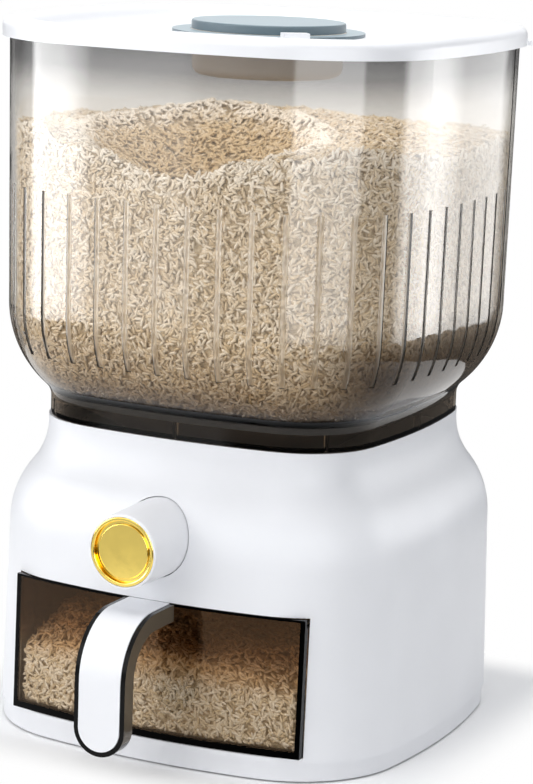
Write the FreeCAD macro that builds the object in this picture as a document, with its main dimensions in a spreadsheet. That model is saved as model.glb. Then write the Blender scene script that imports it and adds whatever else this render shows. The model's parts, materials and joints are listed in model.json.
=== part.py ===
"""Rice dispenser with a smoky hopper, a push-button metering slide and a drawer.

Frame: +Z up, the front faces -Y, the origin is on the table below the middle of the base. Millimetres.
Every plan section is a bulged square: four long side arcs joined by four corner arcs. Walls are
revolved about the axes of those arcs, so that a wall keeps one section all the way round.
"""

import math
import os

import FreeCAD, Part
import Sketcher

Vector = FreeCAD.Vector

SIZES = [
    # stand
    ("foot_drop", 1.0, "feet stand this far below the plate"),
    ("foot_pocket", 1.2, "depth of a foot's pocket in the plate"),
    ("foot_radius", 9.0, "rubber foot"),
    ("foot_place", 80.0, "foot centre from both middle planes"),
    ("foot_chamfer", 0.4, "lower edge of a foot"),
    ("seam_height", 11.3, "joint between plate and base shell"),
    ("plate_inset", 1.1, "plate stands in from the base shell"),
    ("plate_wall", 2.5, "rim and floor of the plate"),
    # base shell
    ("base_half_width", 122.6, "middle of a side at the seam"),
    ("base_side_radius", 410.0, "bulge of a side at the seam"),
    ("base_corner_radius", 65.0, "corner in plan at the seam"),
    ("base_wall", 2.8, "wall of the base shell"),
    ("base_draft", 2.7, "narrower by this at the start of the shoulder"),
    ("base_waist_height", 112.6, "start of the shoulder"),
    ("base_shoulder_radius", 50.6, "convex part of the shoulder"),
    ("base_neck_radius", 36.0, "concave part below the neck"),
    ("neck_half_width", 99.6, "middle of a side at the neck"),
    ("base_top_height", 171.0, "rim that carries the hopper"),
    # drawer window
    ("window_half_width", 86.8, "half of the drawer opening"),
    ("window_bottom", 13.7, "sill of the drawer opening"),
    ("window_top", 89.0, "head of the drawer opening"),
    # hopper
    ("hopper_half_width", 125.4, "middle of a side at the rim"),
    ("hopper_side_radius", 440.0, "bulge of a side at the rim"),
    ("hopper_corner_radius", 74.0, "corner in plan at the rim"),
    ("hopper_wall", 2.6, "wall of the hopper"),
    ("hopper_rim_height", 383.2, "top edge of the hopper"),
    ("hopper_draft", 1.9, "narrower by this at the start of the shoulder"),
    ("hopper_waist_height", 232.6, "start of the shoulder"),
    ("hopper_shoulder_radius", 60.0, "convex part of the shoulder"),
    ("hopper_neck_radius", 10.7, "concave part above the neck"),
    ("skirt_depth", 11.0, "skirt of the hopper inside the base neck"),
    ("skirt_clearance", 0.4, "gap between skirt and base neck"),
    ("neck_rib_width", 1.6, "upright ribs in the neck band"),
    ("flute_width", 3.4, "grooves round the hopper"),
    ("flute_depth", 1.0, "depth of a groove"),
    ("flute_top", 298.5, "upper end of the grooves"),
    ("flute_bottom", 208.0, "lower end of the grooves, on the shoulder"),
    ("flute_pitch", 17.7, "spacing of the grooves along the wall"),
    # funnel
    ("funnel_top_height", 184.2, "upper face of the funnel's flange"),
    ("funnel_flange", 3.8, "thickness of the flange"),
    ("funnel_wall", 2.4, "wall of the funnel"),
    ("gasket_width", 1.4, "seal round the flange"),
    ("gasket_clearance", 0.3, "gap between seal and hopper wall"),
    ("spout_half_width", 26.0, "spout below the funnel"),
    ("spout_side_radius", 200.0, "bulge of the spout's sides"),
    ("spout_corner_radius", 9.0, "corner of the spout in plan"),
    ("spout_top_height", 142.0, "where the funnel turns into the spout"),
    # metering gate
    ("button_height", 121.6, "axis of button and slide"),
    ("button_travel", 14.0, "stroke of the button"),
    ("slide_thickness", 6.0, "metering slide"),
    ("slide_half_width", 26.0, "metering slide"),
    ("slide_clearance", 0.4, "running gap of the slide"),
    ("slide_cover", 16.0, "slide beyond its slot, each way"),
    ("slot_half_width", 20.0, "outlet slot across"),
    ("slot_length", 12.0, "outlet slot along the stroke"),
    ("gate_wall", 3.0, "roof and floor of the gate"),
    ("gate_side", 6.0, "cheeks of the gate"),
    ("gate_half_length", 32.0, "gate housing along the stroke"),
    ("chute_wall", 3.0, "wall of the outlet chute"),
    ("chute_flange", 14.0, "foot of the chute beyond its wall"),
    ("chute_drop", 1.0, "chute below the deck"),
    # deck
    ("deck_thickness", 2.5, "partition above the drawer"),
    ("deck_clearance", 2.6, "drawer opening's head to the deck"),
    ("fit_clearance", 0.3, "general gap between fitted pieces"),
    ("post_radius", 5.0, "posts between plate and deck"),
    ("post_place_across", 103.0, "post axis from the middle plane"),
    ("post_place_along", 56.0, "post axis from the middle plane"),
    # button
    ("button_front_radius", 19.8, "front edge of the button"),
    ("button_rear_radius", 20.4, "button where it enters the shell"),
    ("button_projection", 33.2, "button's front before the shell at its axis"),
    ("button_taper", 31.0, "tapered part of the button"),
    ("button_wall", 2.2, "wall of the button"),
    ("button_front_wall", 5.0, "front wall behind the bezel"),
    ("button_bore_clearance", 0.5, "dark gap round the button"),
    ("button_edge_radius", 1.2, "rounded front edge"),
    ("collar_width", 1.3, "stop collar beyond the bore"),
    ("collar_thickness", 2.0, "stop collar"),
    ("guide_gap", 1.0, "guide tube behind the shell at its top"),
    ("guide_wall", 2.0, "wall, lip and end of the guide tube"),
    ("guide_length", 39.0, "guide tube"),
    ("guide_foot_half_width", 14.0, "saddle below the guide tube"),
    ("guide_foot_length", 18.0, "saddle along the tube"),
    ("rod_half_width", 5.0, "push rod across"),
    ("bezel_radius", 18.3, "gold ring"),
    ("bezel_rim", 1.9, "rim of the gold ring"),
    ("bezel_depth", 3.0, "recess for the gold ring and disc"),
    ("bezel_draft", 0.5, "inner wall of the ring leans in"),
    ("bezel_floor", 0.6, "floor of the channel round the disc"),
    ("bezel_edge", 0.5, "rounded edges of the rim"),
    ("face_radius", 14.5, "gold disc"),
    ("bezel_proud", 0.2, "gold ring before the button's front"),
    ("face_thickness", 1.8, "gold disc"),
    ("spring_radius", 10.0, "mean radius of the return spring"),
    ("spring_wire", 1.2, "diameter of the spring wire"),
    ("spring_turns", 7.0, "turns of the return spring"),
    # drawer
    ("drawer_gap", 0.5, "gap round the drawer front"),
    ("drawer_wall", 2.4, "walls of the drawer"),
    ("drawer_floor", 2.6, "floor of the drawer"),
    ("drawer_back", 92.0, "rear face of the drawer behind the middle"),
    ("drawer_side_drop", 4.0, "sides lower than the front"),
    ("runner_gap", 0.3, "running gap of the drawer"),
    ("runner_half_length", 98.0, "runner along the drawer"),
    ("runner_wall", 3.0, "upright of the runner"),
    ("runner_ledge", 15.0, "ledge under the drawer's edge"),
    ("runner_height", 26.0, "upright above the ledge"),
    # handle
    ("handle_half_width", 14.75, "strap across"),
    ("handle_thickness", 9.0, "strap"),
    ("handle_projection", 51.8, "outer face of the strap before the drawer front"),
    ("handle_bend", 32.0, "outer radius of the bend"),
    ("handle_bottom", 17.5, "lower end of the strap"),
    ("cover_half_width", 12.0, "white inlay across"),
    ("cover_thickness", 2.0, "white inlay"),
    ("cover_proud", 0.4, "inlay above the strap"),
    # lid
    ("lid_overhang", 3.9, "lid beyond the hopper"),
    ("lid_wall", 2.2, "outer skirt of the lid"),
    ("lid_gap", 0.3, "hopper's rim to the lid's roof"),
    ("lid_height", 9.8, "outer skirt with the rounded edge"),
    ("lid_edge_radius", 4.5, "rounded upper edge"),
    ("lid_thickness", 2.5, "roof of the lid"),
    ("lid_rim_width", 8.0, "flat rim inside the rounded edge"),
    ("lid_dish_depth", 7.0, "dish below the rim"),
    ("lid_dish_radius", 7.0, "both bends of the dish wall"),
    ("plug_gap", 1.5, "inner skirt from the hopper wall"),
    ("plug_wall", 2.0, "inner skirt"),
    ("plug_depth", 7.3, "inner skirt below the roof"),
    ("seal_height", 4.0, "lid seal"),
    ("lip_reach", 2.8, "lift lip beyond the lid"),
    ("lip_thickness", 2.6, "lift lip"),
    ("lip_angle", 16.0, "lift lip round the corner axis"),
    ("lip_turn", 26.5, "middle of the lip from the right"),
    # moisture cup and its cap
    ("cup_radius", 41.0, "moisture cup"),
    ("cup_wall", 1.5, "moisture cup"),
    ("cup_depth", 24.2, "cup from its lip to the outside of its floor"),
    ("cup_edge_radius", 5.0, "lower edge of the cup"),
    ("cup_lip", 1.2, "lip of the cup on the seat's step"),
    ("seat_radius", 52.5, "grey seat ring"),
    ("seat_thickness", 1.8, "grey seat ring above the lid"),
    ("seat_wall", 3.0, "collar of the seat through the lid"),
    ("seat_depth", 6.0, "collar below the lid's dish"),
    ("cap_radius", 42.0, "grey cap"),
    ("cap_edge_radius", 1.2, "rounded upper edge of the cap"),
    ("cap_plug_wall", 1.8, "plug of the cap"),
    ("cap_plug_depth", 6.0, "plug below the cap"),
    ("cap_gasket_depth", 0.9, "groove for the cap's ring"),
    ("cap_gasket_height", 2.0, "ring on the cap's plug"),
    ("tab_half_width", 7.0, "white index tab before the cap"),
    ("tab_length", 8.0, "index tab, away from the cap"),
    ("tab_height", 4.4, "index tab above the lid's dish"),
    ("tab_turn", 50.0, "index tab's turn from the right to the front"),
]


class Size:
    """A number together with the spreadsheet expression that gives it."""

    def __init__(self, number, text):
        self.number = float(number)
        self.text = text

    def __add__(self, other):
        other = as_size(other)
        return Size(self.number + other.number, f"({self.text} + {other.text})")

    def __sub__(self, other):
        other = as_size(other)
        return Size(self.number - other.number, f"({self.text} - {other.text})")

    def __mul__(self, other):
        other = as_size(other)
        return Size(self.number * other.number, f"({self.text} * {other.text})")

    def __truediv__(self, other):
        other = as_size(other)
        return Size(self.number / other.number, f"({self.text} / {other.text})")

    def __neg__(self):
        return self * -1

    def __rsub__(self, other):
        return as_size(other) - self

    def __rtruediv__(self, other):
        return as_size(other) / self

    __radd__ = __add__
    __rmul__ = __mul__


def as_size(value):
    if isinstance(value, Size):
        return value
    return Size(value, f"({value!r})")


def root(value):
    return Size(math.sqrt(value.number), f"sqrt({value.text})")


def cosine(degrees):
    return Size(math.cos(math.radians(degrees.number)), f"cos({degrees.text})")


def sine(degrees):
    return Size(math.sin(math.radians(degrees.number)), f"sin({degrees.text})")


def degrees_of(rise, run):
    """The angle, in degrees, whose tangent is rise / run."""
    degrees = math.degrees(math.atan(rise.number / run.number))
    return Size(degrees, f"(atan({rise.text} / {run.text}) / 1deg)")


class Sizes:
    """The driving dimensions as cells of a spreadsheet, one attribute for each alias."""

    def __init__(self, sheet, rows):
        for row, (alias, number, meaning) in enumerate(rows, start=1):
            sheet.set(f"A{row}", meaning)
            sheet.set(f"B{row}", str(number))
            sheet.setAlias(f"B{row}", alias)
            setattr(self, alias, Size(number, f"{sheet.Name}.{alias}"))


class Plan:
    """A bulged square: the arcs of its sides and corners keep their axes at every inset."""

    def __init__(self, half_width, side_radius, corner_radius):
        depth = side_radius - half_width
        reach = side_radius - corner_radius
        self.half_width = half_width
        self.side_radius = side_radius
        self.corner_radius = corner_radius
        self.side_axis = half_width - side_radius
        self.corner_axis = half_width - corner_radius
        self.corner_place = (root(2 * reach * reach - depth * depth) - depth) / 2
        self.side_cosine = (self.corner_place + depth) / reach
        self.side_sine = self.corner_place / reach
        self.side_turn = degrees_of(self.corner_place, self.corner_place + depth)

    def joints(self, half_width):
        """The eight ends of the arcs, anticlockwise, with the radius of the arc that leads to each."""
        radius = self.side_radius - self.half_width + half_width
        corner = self.corner_radius - self.half_width + half_width
        far = self.side_axis + radius * self.side_cosine
        near = radius * self.side_sine
        return [
            (far, near, radius),
            (near, far, corner),
            (-near, far, radius),
            (-far, near, corner),
            (-far, -near, radius),
            (-near, -far, corner),
            (near, -far, radius),
            (far, -near, corner),
        ]


class Shoulder:
    """An S-bend between a leaning wall and an upright neck; rise is 1 for a neck above the wall."""

    def __init__(self, waist, height, slope, neck, convex, concave, rise):
        self.wall_cosine = 1 / root(slope * slope + 1)
        self.wall_sine = slope * self.wall_cosine * rise
        self.waist = waist
        self.height = height
        self.neck = neck
        self.convex = convex
        self.concave = concave
        self.axis_place = waist - convex * self.wall_cosine
        self.axis_height = height - convex * self.wall_sine
        self.bend_cosine = (neck + concave - self.axis_place) / (convex + concave)
        self.bend_sine = root(1 - self.bend_cosine * self.bend_cosine) * rise
        self.neck_height = self.axis_height + (convex + concave) * self.bend_sine

    def start(self, depth):
        """Where the convex arc leaves the wall, depth below the outer face."""
        return self.waist - depth * self.wall_cosine, self.height - depth * self.wall_sine

    def blend(self, depth):
        """Where the convex arc turns into the concave one."""
        radius = self.convex - depth
        return self.axis_place + radius * self.bend_cosine, self.axis_height + radius * self.bend_sine

    def place_at(self, height, depth):
        """Half-width of the convex arc at a height."""
        radius = self.convex - depth
        lift = height - self.axis_height
        return self.axis_place + root(radius * radius - lift * lift)


DOCUMENT = FreeCAD.newDocument("rice_dispenser")
SHEET = DOCUMENT.addObject("Spreadsheet::Sheet", "Sizes")
size = Sizes(SHEET, SIZES)
DOCUMENT.recompute()


# Sketches -------------------------------------------------------------------------------------------


def bind(thing, prop, value):
    """Ties a property or a sketch constraint to the spreadsheet."""
    thing.setExpression(prop, as_size(value).text)


def new_body(label):
    body = DOCUMENT.addObject("PartDesign::Body", label)
    body.Label = label
    return body


def new_sketch(body, role, offset=0):
    """A sketch on one of the body's own planes, moved along the plane's normal."""
    plane = next(item for item in body.Origin.OriginFeatures if item.Role == role)
    sketch = body.newObject("Sketcher::SketchObject", "Sketch")
    sketch.AttachmentSupport = [(plane, "")]
    sketch.MapMode = "FlatFace"
    bind(sketch, "AttachmentOffset.Base.z", offset)
    return sketch


def corner_sketch(body, plan, turn):
    """An upright sketch through the right rear corner's axis, turned from +X, in the walls' coordinates."""
    sketch = new_sketch(body, "XZ_Plane")
    rotation = FreeCAD.Rotation(Vector(0, 1, 0), turn.number)
    sketch.AttachmentOffset = FreeCAD.Placement(Vector(0, 0, 0), rotation)
    bind(sketch, "AttachmentOffset.Rotation.Angle", turn)
    bind(sketch, "AttachmentOffset.Base.x", plan.corner_place - plan.corner_axis * cosine(turn))
    bind(sketch, "AttachmentOffset.Base.z", plan.corner_axis * sine(turn) - plan.corner_place)
    return sketch


def fix_point(sketch, edge, end, across, up):
    """Dimensions one end of an edge from the sketch's origin."""
    for kind, value in (("DistanceX", across), ("DistanceY", up)):
        value = as_size(value)
        index = sketch.addConstraint(Sketcher.Constraint(kind, -1, 1, edge, end, value.number))
        bind(sketch, f"Constraints[{index}]", value)


def add_arc(sketch, start, end, radius):
    """An arc that leaves start to the left for a positive radius and to the right for a negative one."""
    first, last = (start, end) if radius.number > 0 else (end, start)
    chord = last - first
    reach = math.sqrt(max(radius.number**2 - (chord.Length / 2) ** 2, 0))
    across = Vector(-chord.y, chord.x, 0) / chord.Length
    centre = (first + last) / 2 + across * reach
    circle = Part.Circle(centre, Vector(0, 0, 1), abs(radius.number))
    arc = Part.ArcOfCircle(circle, circle.parameter(first), circle.parameter(last))
    edge = sketch.addGeometry(arc, False)
    index = sketch.addConstraint(Sketcher.Constraint("Radius", edge, abs(radius.number)))
    bind(sketch, f"Constraints[{index}]", radius if radius.number > 0 else -radius)
    return edge


def add_edges(sketch, corners, first):
    """Edges that end at the corners from the first one on: corner, edge, and its start and end point."""
    points = [Vector(corner[0].number, corner[1].number, 0) for corner in corners]
    edges = []
    for place in range(first, len(corners)):
        start, end, corner = points[place - 1], points[place], corners[place]
        if len(corner) == 3:
            edge = add_arc(sketch, start, end, corner[2])
            edges.append((corner, edge, 1, 2) if corner[2].number > 0 else (corner, edge, 2, 1))
        else:
            edges.append((corner, sketch.addGeometry(Part.LineSegment(start, end), False), 1, 2))
    return edges


def draw_loop(sketch, corners):
    """A closed outline: each corner is (across, up), with a signed radius if an arc leads to it."""
    edges = add_edges(sketch, [tuple(as_size(value) for value in corner) for corner in corners], 0)
    for (corner, edge, _, tail), (_, following, head, _) in zip(edges, edges[1:] + edges[:1]):
        sketch.addConstraint(Sketcher.Constraint("Coincident", edge, tail, following, head))
        fix_point(sketch, edge, tail, corner[0], corner[1])
    return sketch


def draw_path(sketch, corners):
    """An open line through the corners, written as for draw_loop."""
    edges = add_edges(sketch, [tuple(as_size(value) for value in corner) for corner in corners], 1)
    fix_point(sketch, edges[0][1], edges[0][2], corners[0][0], corners[0][1])
    for (_, edge, _, tail), (_, following, head, _) in zip(edges, edges[1:]):
        sketch.addConstraint(Sketcher.Constraint("Coincident", edge, tail, following, head))
    for corner, edge, _, tail in edges:
        fix_point(sketch, edge, tail, corner[0], corner[1])
    return sketch


def draw_plan(sketch, plan, half_width):
    return draw_loop(sketch, plan.joints(as_size(half_width)))


def draw_rectangle(sketch, left, right, bottom, top):
    return draw_loop(sketch, [(left, bottom), (right, bottom), (right, top), (left, top)])


def draw_circle(sketch, across, up, radius):
    centre = Vector(as_size(across).number, as_size(up).number, 0)
    edge = sketch.addGeometry(Part.Circle(centre, Vector(0, 0, 1), radius.number), False)
    fix_point(sketch, edge, 3, across, up)
    index = sketch.addConstraint(Sketcher.Constraint("Radius", edge, radius.number))
    bind(sketch, f"Constraints[{index}]", radius)
    return sketch


def draw_axis(sketch, across):
    """An upright construction line, the sketch's first axis."""
    across = as_size(across)
    start, end = Vector(across.number, 0, 0), Vector(across.number, 1, 0)
    edge = sketch.addGeometry(Part.LineSegment(start, end), True)
    fix_point(sketch, edge, 1, across, 0)
    fix_point(sketch, edge, 2, across, 1)


# Features -------------------------------------------------------------------------------------------


def extrude(body, kind, sketch, length, symmetric=False, backward=False):
    feature = body.newObject(kind, kind.split("::")[1])
    feature.Profile = sketch
    feature.SideType = "Symmetric" if symmetric else "One side"
    feature.Reversed = backward
    bind(feature, "Length", length)
    sketch.Visibility = False
    return feature


def pad(body, sketch, length, symmetric=False, backward=False):
    """Adds material along the sketch's normal."""
    feature = extrude(body, "PartDesign::Pad", sketch, length, symmetric, backward)
    DOCUMENT.recompute()
    return feature


def cut(body, sketch, length, symmetric=False, backward=False):
    """Takes material away against the sketch's normal, or along it if backward."""
    before = body.Shape.Volume
    feature = extrude(body, "PartDesign::Pocket", sketch, length, symmetric, backward)
    DOCUMENT.recompute()
    if body.Shape.Volume >= before:
        raise RuntimeError(f"{body.Label}: a pocket cuts nothing")
    return feature


def revolve(body, sketch, degrees=360.0, kind="PartDesign::Revolution", axis="V_Axis"):
    """Turns the sketch about an upright axis, half of the angle each way."""
    feature = body.newObject(kind, kind.split("::")[1])
    feature.Profile = sketch
    feature.ReferenceAxis = (sketch, [axis])
    feature.Midplane = True
    bind(feature, "Angle", degrees)
    sketch.Visibility = False
    DOCUMENT.recompute()
    return feature


def cut_along(body, profile, path):
    """Takes away what the profile sweeps along the path."""
    before = body.Shape.Volume
    feature = body.newObject("PartDesign::SubtractivePipe", "SubtractivePipe")
    feature.Profile = profile
    feature.Spine = (path, [])
    profile.Visibility = path.Visibility = False
    DOCUMENT.recompute()
    if body.Shape.Volume >= before:
        raise RuntimeError(f"{body.Label}: a swept cut takes nothing away")
    return feature


def turn_round(body, features, count=4):
    """Repeats features round the body's upright axis."""
    pattern = body.newObject("PartDesign::PolarPattern", "PolarPattern")
    pattern.Originals = features
    pattern.Axis = (upright_axis(body), [""])
    pattern.Angle = 360
    pattern.Occurrences = count
    body.Tip = pattern
    DOCUMENT.recompute()
    return pattern


def upright_axis(body):
    return next(item for item in body.Origin.OriginFeatures if item.Role == "Z_Axis")


def add_wall(body, plan, corners):
    """A wall of constant section round the whole plan, in four sides and four corners."""
    side = draw_loop(new_sketch(body, "XZ_Plane"), corners)
    draw_axis(side, plan.side_axis)
    side_wall = revolve(body, side, 2 * plan.side_turn, axis="Axis0")
    corner = draw_loop(corner_sketch(body, plan, QUARTER_MIDDLE), corners)
    draw_axis(corner, plan.corner_axis)
    corner_wall = revolve(body, corner, 90 - 2 * plan.side_turn, axis="Axis0")
    return turn_round(body, [side_wall, corner_wall])


def place(body, across=0, along=0, up=0):
    bind(body, "Placement.Base.x", across)
    bind(body, "Placement.Base.y", along)
    bind(body, "Placement.Base.z", up)


def face_forward(body):
    """Turns a body made along +Z so that it points to the front, on the button's axis."""
    body.Placement = FreeCAD.Placement(Vector(0, 0, 0), FreeCAD.Rotation(Vector(1, 0, 0), 90))
    bind(body, "Placement.Base.z", size.button_height)


# Shared geometry ------------------------------------------------------------------------------------

BASE = Plan(size.base_half_width, size.base_side_radius, size.base_corner_radius)
HOPPER = Plan(size.hopper_half_width, size.hopper_side_radius, size.hopper_corner_radius)
SPOUT = Plan(size.spout_half_width, size.spout_side_radius, size.spout_corner_radius)

QUARTER_MIDDLE = as_size(45.0)
# Turn about the front's arc axis that takes in the whole drawer front.
FRONT_SWEEP = as_size(60.0)

BASE_SLOPE = size.base_draft / (size.base_waist_height - size.seam_height)
HOPPER_SLOPE = size.hopper_draft / (size.hopper_rim_height - size.hopper_waist_height)
BASE_SHOULDER = Shoulder(
    size.base_half_width - size.base_draft,
    size.base_waist_height,
    BASE_SLOPE,
    size.neck_half_width,
    size.base_shoulder_radius,
    size.base_neck_radius,
    rise=1,
)
HOPPER_SHOULDER = Shoulder(
    size.hopper_half_width - size.hopper_draft,
    size.hopper_waist_height,
    HOPPER_SLOPE,
    size.neck_half_width,
    size.hopper_shoulder_radius,
    size.hopper_neck_radius,
    rise=-1,
)


def base_half_width_at(height):
    """Middle of a side on the leaning wall of the base shell."""
    return size.base_half_width - BASE_SLOPE * (height - size.seam_height)


def hopper_half_width_at(height):
    """Middle of a side on the leaning wall of the hopper."""
    return size.hopper_half_width - HOPPER_SLOPE * (size.hopper_rim_height - height)


PLATE_FLOOR_TOP = size.foot_drop + size.plate_wall
DECK_BOTTOM = size.window_top + size.deck_clearance
DECK_TOP = DECK_BOTTOM + size.deck_thickness
SKIRT_HALF_WIDTH = size.neck_half_width - size.base_wall - size.skirt_clearance
SKIRT_INNER = SKIRT_HALF_WIDTH - size.hopper_wall
FLANGE_BOTTOM = size.funnel_top_height - size.funnel_flange
FLANGE_HALF_WIDTH = size.neck_half_width - size.hopper_wall - size.gasket_clearance - size.gasket_width
GATE_HALF_GAP = size.slide_thickness / 2 + size.slide_clearance
GATE_TOP = size.button_height + GATE_HALF_GAP + size.gate_wall
GATE_BOTTOM = size.button_height - GATE_HALF_GAP - size.gate_wall
GATE_INNER = size.slide_half_width + size.slide_clearance
CHUTE_HALF_WIDTH = size.slot_half_width + size.chute_wall
CHUTE_HALF_LENGTH = size.slot_length / 2 + size.chute_wall

BUTTON_FRONT = BASE_SHOULDER.place_at(size.button_height, 0) + size.button_projection
BUTTON_BORE = size.button_rear_radius + size.button_bore_clearance
COLLAR_RADIUS = BUTTON_BORE + size.collar_width
GUIDE_INNER = COLLAR_RADIUS + size.fit_clearance
GUIDE_OUTER = GUIDE_INNER + size.guide_wall
GUIDE_FRONT = BASE_SHOULDER.place_at(size.button_height + GUIDE_OUTER, size.base_wall) - size.guide_gap
GUIDE_BACK = GUIDE_FRONT - size.guide_length
COLLAR_FRONT = GUIDE_FRONT - size.guide_wall - size.fit_clearance
BEZEL_SEAT = BUTTON_FRONT - size.bezel_depth

DRAWER_HALF_WIDTH = size.window_half_width - size.drawer_gap
DRAWER_BOTTOM = size.window_bottom + size.drawer_gap
DRAWER_TOP = size.window_top - size.drawer_gap
HANDLE_REACH = base_half_width_at(DRAWER_TOP) + size.handle_projection
HANDLE_TIP = size.handle_bottom + size.handle_half_width

LID_ROOF = size.hopper_rim_height + size.lid_gap
LID_TOP = LID_ROOF + size.lid_thickness
LID_BOTTOM = LID_TOP - size.lid_height
PLUG_BOTTOM = LID_ROOF - size.plug_depth
DISH_TOP = LID_TOP - size.lid_dish_depth
DISH_BOTTOM = DISH_TOP - size.lid_thickness
LID_HALF_WIDTH = size.hopper_half_width + size.lid_overhang
PLUG_OUTER = size.hopper_half_width - size.hopper_wall - size.plug_gap
SEAT_INNER = size.cup_radius + size.fit_clearance
SEAT_OUTER = SEAT_INNER + size.seat_wall
SEAT_TOP = DISH_TOP + size.seat_thickness
CUP_LIP_BOTTOM = SEAT_TOP - size.cup_wall
CUP_LIP_RADIUS = size.cup_radius + size.cup_lip
CAP_BOTTOM = SEAT_TOP + size.fit_clearance
CUP_INNER = size.cup_radius - size.cup_wall
CAP_PLUG = CUP_INNER - 2 * size.fit_clearance


# Base -----------------------------------------------------------------------------------------------


def base_plate():
    """Tray-shaped plate that closes the base shell from below and carries the feet."""
    body = new_body("base_plate")
    half_width = size.base_half_width - size.plate_inset
    block = draw_plan(new_sketch(body, "XY_Plane", size.foot_drop), BASE, half_width)
    pad(body, block, size.seam_height - size.foot_drop)
    hollow = draw_plan(new_sketch(body, "XY_Plane", size.seam_height), BASE, half_width - size.plate_wall)
    cut(body, hollow, size.seam_height - PLATE_FLOOR_TOP)
    pockets = new_sketch(body, "XY_Plane", size.foot_drop)
    for across, along in foot_places():
        draw_circle(pockets, across, along, size.foot_radius + size.fit_clearance)
    cut(body, pockets, size.foot_pocket, backward=True)
    return body


def foot_places():
    spot = size.foot_place
    return [(-spot, -spot), (spot, -spot), (-spot, spot), (spot, spot)]


def foot(label, across, along):
    """Rubber foot, half sunk in the plate."""
    body = new_body(label)
    height = size.foot_drop + size.foot_pocket
    edge = size.foot_radius - size.foot_chamfer
    radius = size.foot_radius
    profile = [(0, 0), (edge, 0), (radius, size.foot_chamfer), (radius, height), (0, height)]
    revolve(body, draw_loop(new_sketch(body, "XZ_Plane"), profile))
    place(body, across, along)
    return body


def base_shell():
    """Outer shell of the base: leaning walls, S-shaped shoulder, neck, drawer window and button bore."""
    body = new_body("base_shell")
    wall = size.base_wall
    bend = BASE_SHOULDER
    neck_inner = size.neck_half_width - wall
    add_wall(
        body,
        BASE,
        [
            (size.base_half_width, size.seam_height),
            bend.start(0),
            (*bend.blend(0), bend.convex),
            (bend.neck, bend.neck_height, -bend.concave),
            (size.neck_half_width, size.base_top_height),
            (neck_inner, size.base_top_height),
            (neck_inner, bend.neck_height),
            (*bend.blend(wall), bend.concave + wall),
            (*bend.start(wall), wall - bend.convex),
            (size.base_half_width - wall, size.seam_height),
        ],
    )
    reach = size.base_half_width
    window = draw_rectangle(
        new_sketch(body, "XZ_Plane"),
        -size.window_half_width,
        size.window_half_width,
        size.window_bottom,
        size.window_top,
    )
    cut(body, window, reach, backward=True)
    bore = draw_circle(new_sketch(body, "XZ_Plane"), 0, size.button_height, BUTTON_BORE)
    cut(body, bore, reach, backward=True)
    return body


def drawer_deck():
    """Partition between the drawer and the metering gate, on four posts."""
    body = new_body("drawer_deck")
    half_width = base_half_width_at(DECK_TOP) - size.base_wall - size.fit_clearance
    pad(body, draw_plan(new_sketch(body, "XY_Plane", DECK_BOTTOM), BASE, half_width), size.deck_thickness)
    posts = new_sketch(body, "XY_Plane", PLATE_FLOOR_TOP)
    for side in (-1, 1):
        for end in (-1, 1):
            draw_circle(posts, size.post_place_across * side, size.post_place_along * end, size.post_radius)
    pad(body, posts, DECK_BOTTOM - PLATE_FLOOR_TOP)
    opening = draw_rectangle(
        new_sketch(body, "XY_Plane", DECK_TOP),
        -CHUTE_HALF_WIDTH - size.fit_clearance,
        CHUTE_HALF_WIDTH + size.fit_clearance,
        -CHUTE_HALF_LENGTH - size.fit_clearance,
        CHUTE_HALF_LENGTH + size.fit_clearance,
    )
    cut(body, opening, size.deck_thickness)
    return body


def runner(label, side):
    """L-shaped rail on the plate: a ledge under the drawer's edge and an upright beside it."""
    body = new_body(label)
    ledge_top = DRAWER_BOTTOM - size.runner_gap
    inner = DRAWER_HALF_WIDTH + size.runner_gap
    outer = inner + size.runner_wall
    ledge = outer - size.runner_ledge
    corners = [
        (ledge, PLATE_FLOOR_TOP),
        (outer, PLATE_FLOOR_TOP),
        (outer, ledge_top + size.runner_height),
        (inner, ledge_top + size.runner_height),
        (inner, ledge_top),
        (ledge, ledge_top),
    ]
    profile = draw_loop(new_sketch(body, "XZ_Plane"), [(across * side, up) for across, up in corners])
    pad(body, profile, 2 * size.runner_half_length, symmetric=True)
    return body


# Funnel and metering gate ---------------------------------------------------------------------------


def funnel():
    """Floor of the hopper: a flange in the neck, four-sided cone and spout."""
    body = new_body("funnel")
    wall = size.funnel_wall
    flange = draw_plan(new_sketch(body, "XY_Plane", FLANGE_BOTTOM), HOPPER, FLANGE_HALF_WIDTH)
    pad(body, flange, size.funnel_flange)
    mouth = FLANGE_HALF_WIDTH - wall
    spout = (size.spout_top_height, size.spout_half_width)
    loft(body, "PartDesign::AdditiveLoft", (FLANGE_BOTTOM, mouth), spout)
    spout = draw_plan(new_sketch(body, "XY_Plane", GATE_TOP), SPOUT, size.spout_half_width)
    pad(body, spout, size.spout_top_height - GATE_TOP)
    loft(
        body,
        "PartDesign::SubtractiveLoft",
        (size.funnel_top_height, mouth),
        (size.spout_top_height, size.spout_half_width - wall),
    )
    bore = draw_plan(new_sketch(body, "XY_Plane", size.spout_top_height), SPOUT, size.spout_half_width - wall)
    cut(body, bore, size.spout_top_height - GATE_TOP)
    return body


def loft(body, kind, upper, lower):
    """A ruled cone from a section of the hopper's plan to one of the spout's: (height, half-width) each."""
    feature = body.newObject(kind, kind.split("::")[1])
    feature.Profile = draw_plan(new_sketch(body, "XY_Plane", upper[0]), HOPPER, upper[1])
    feature.Sections = [(draw_plan(new_sketch(body, "XY_Plane", lower[0]), SPOUT, lower[1]), [""])]
    feature.Ruled = True
    DOCUMENT.recompute()


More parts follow.
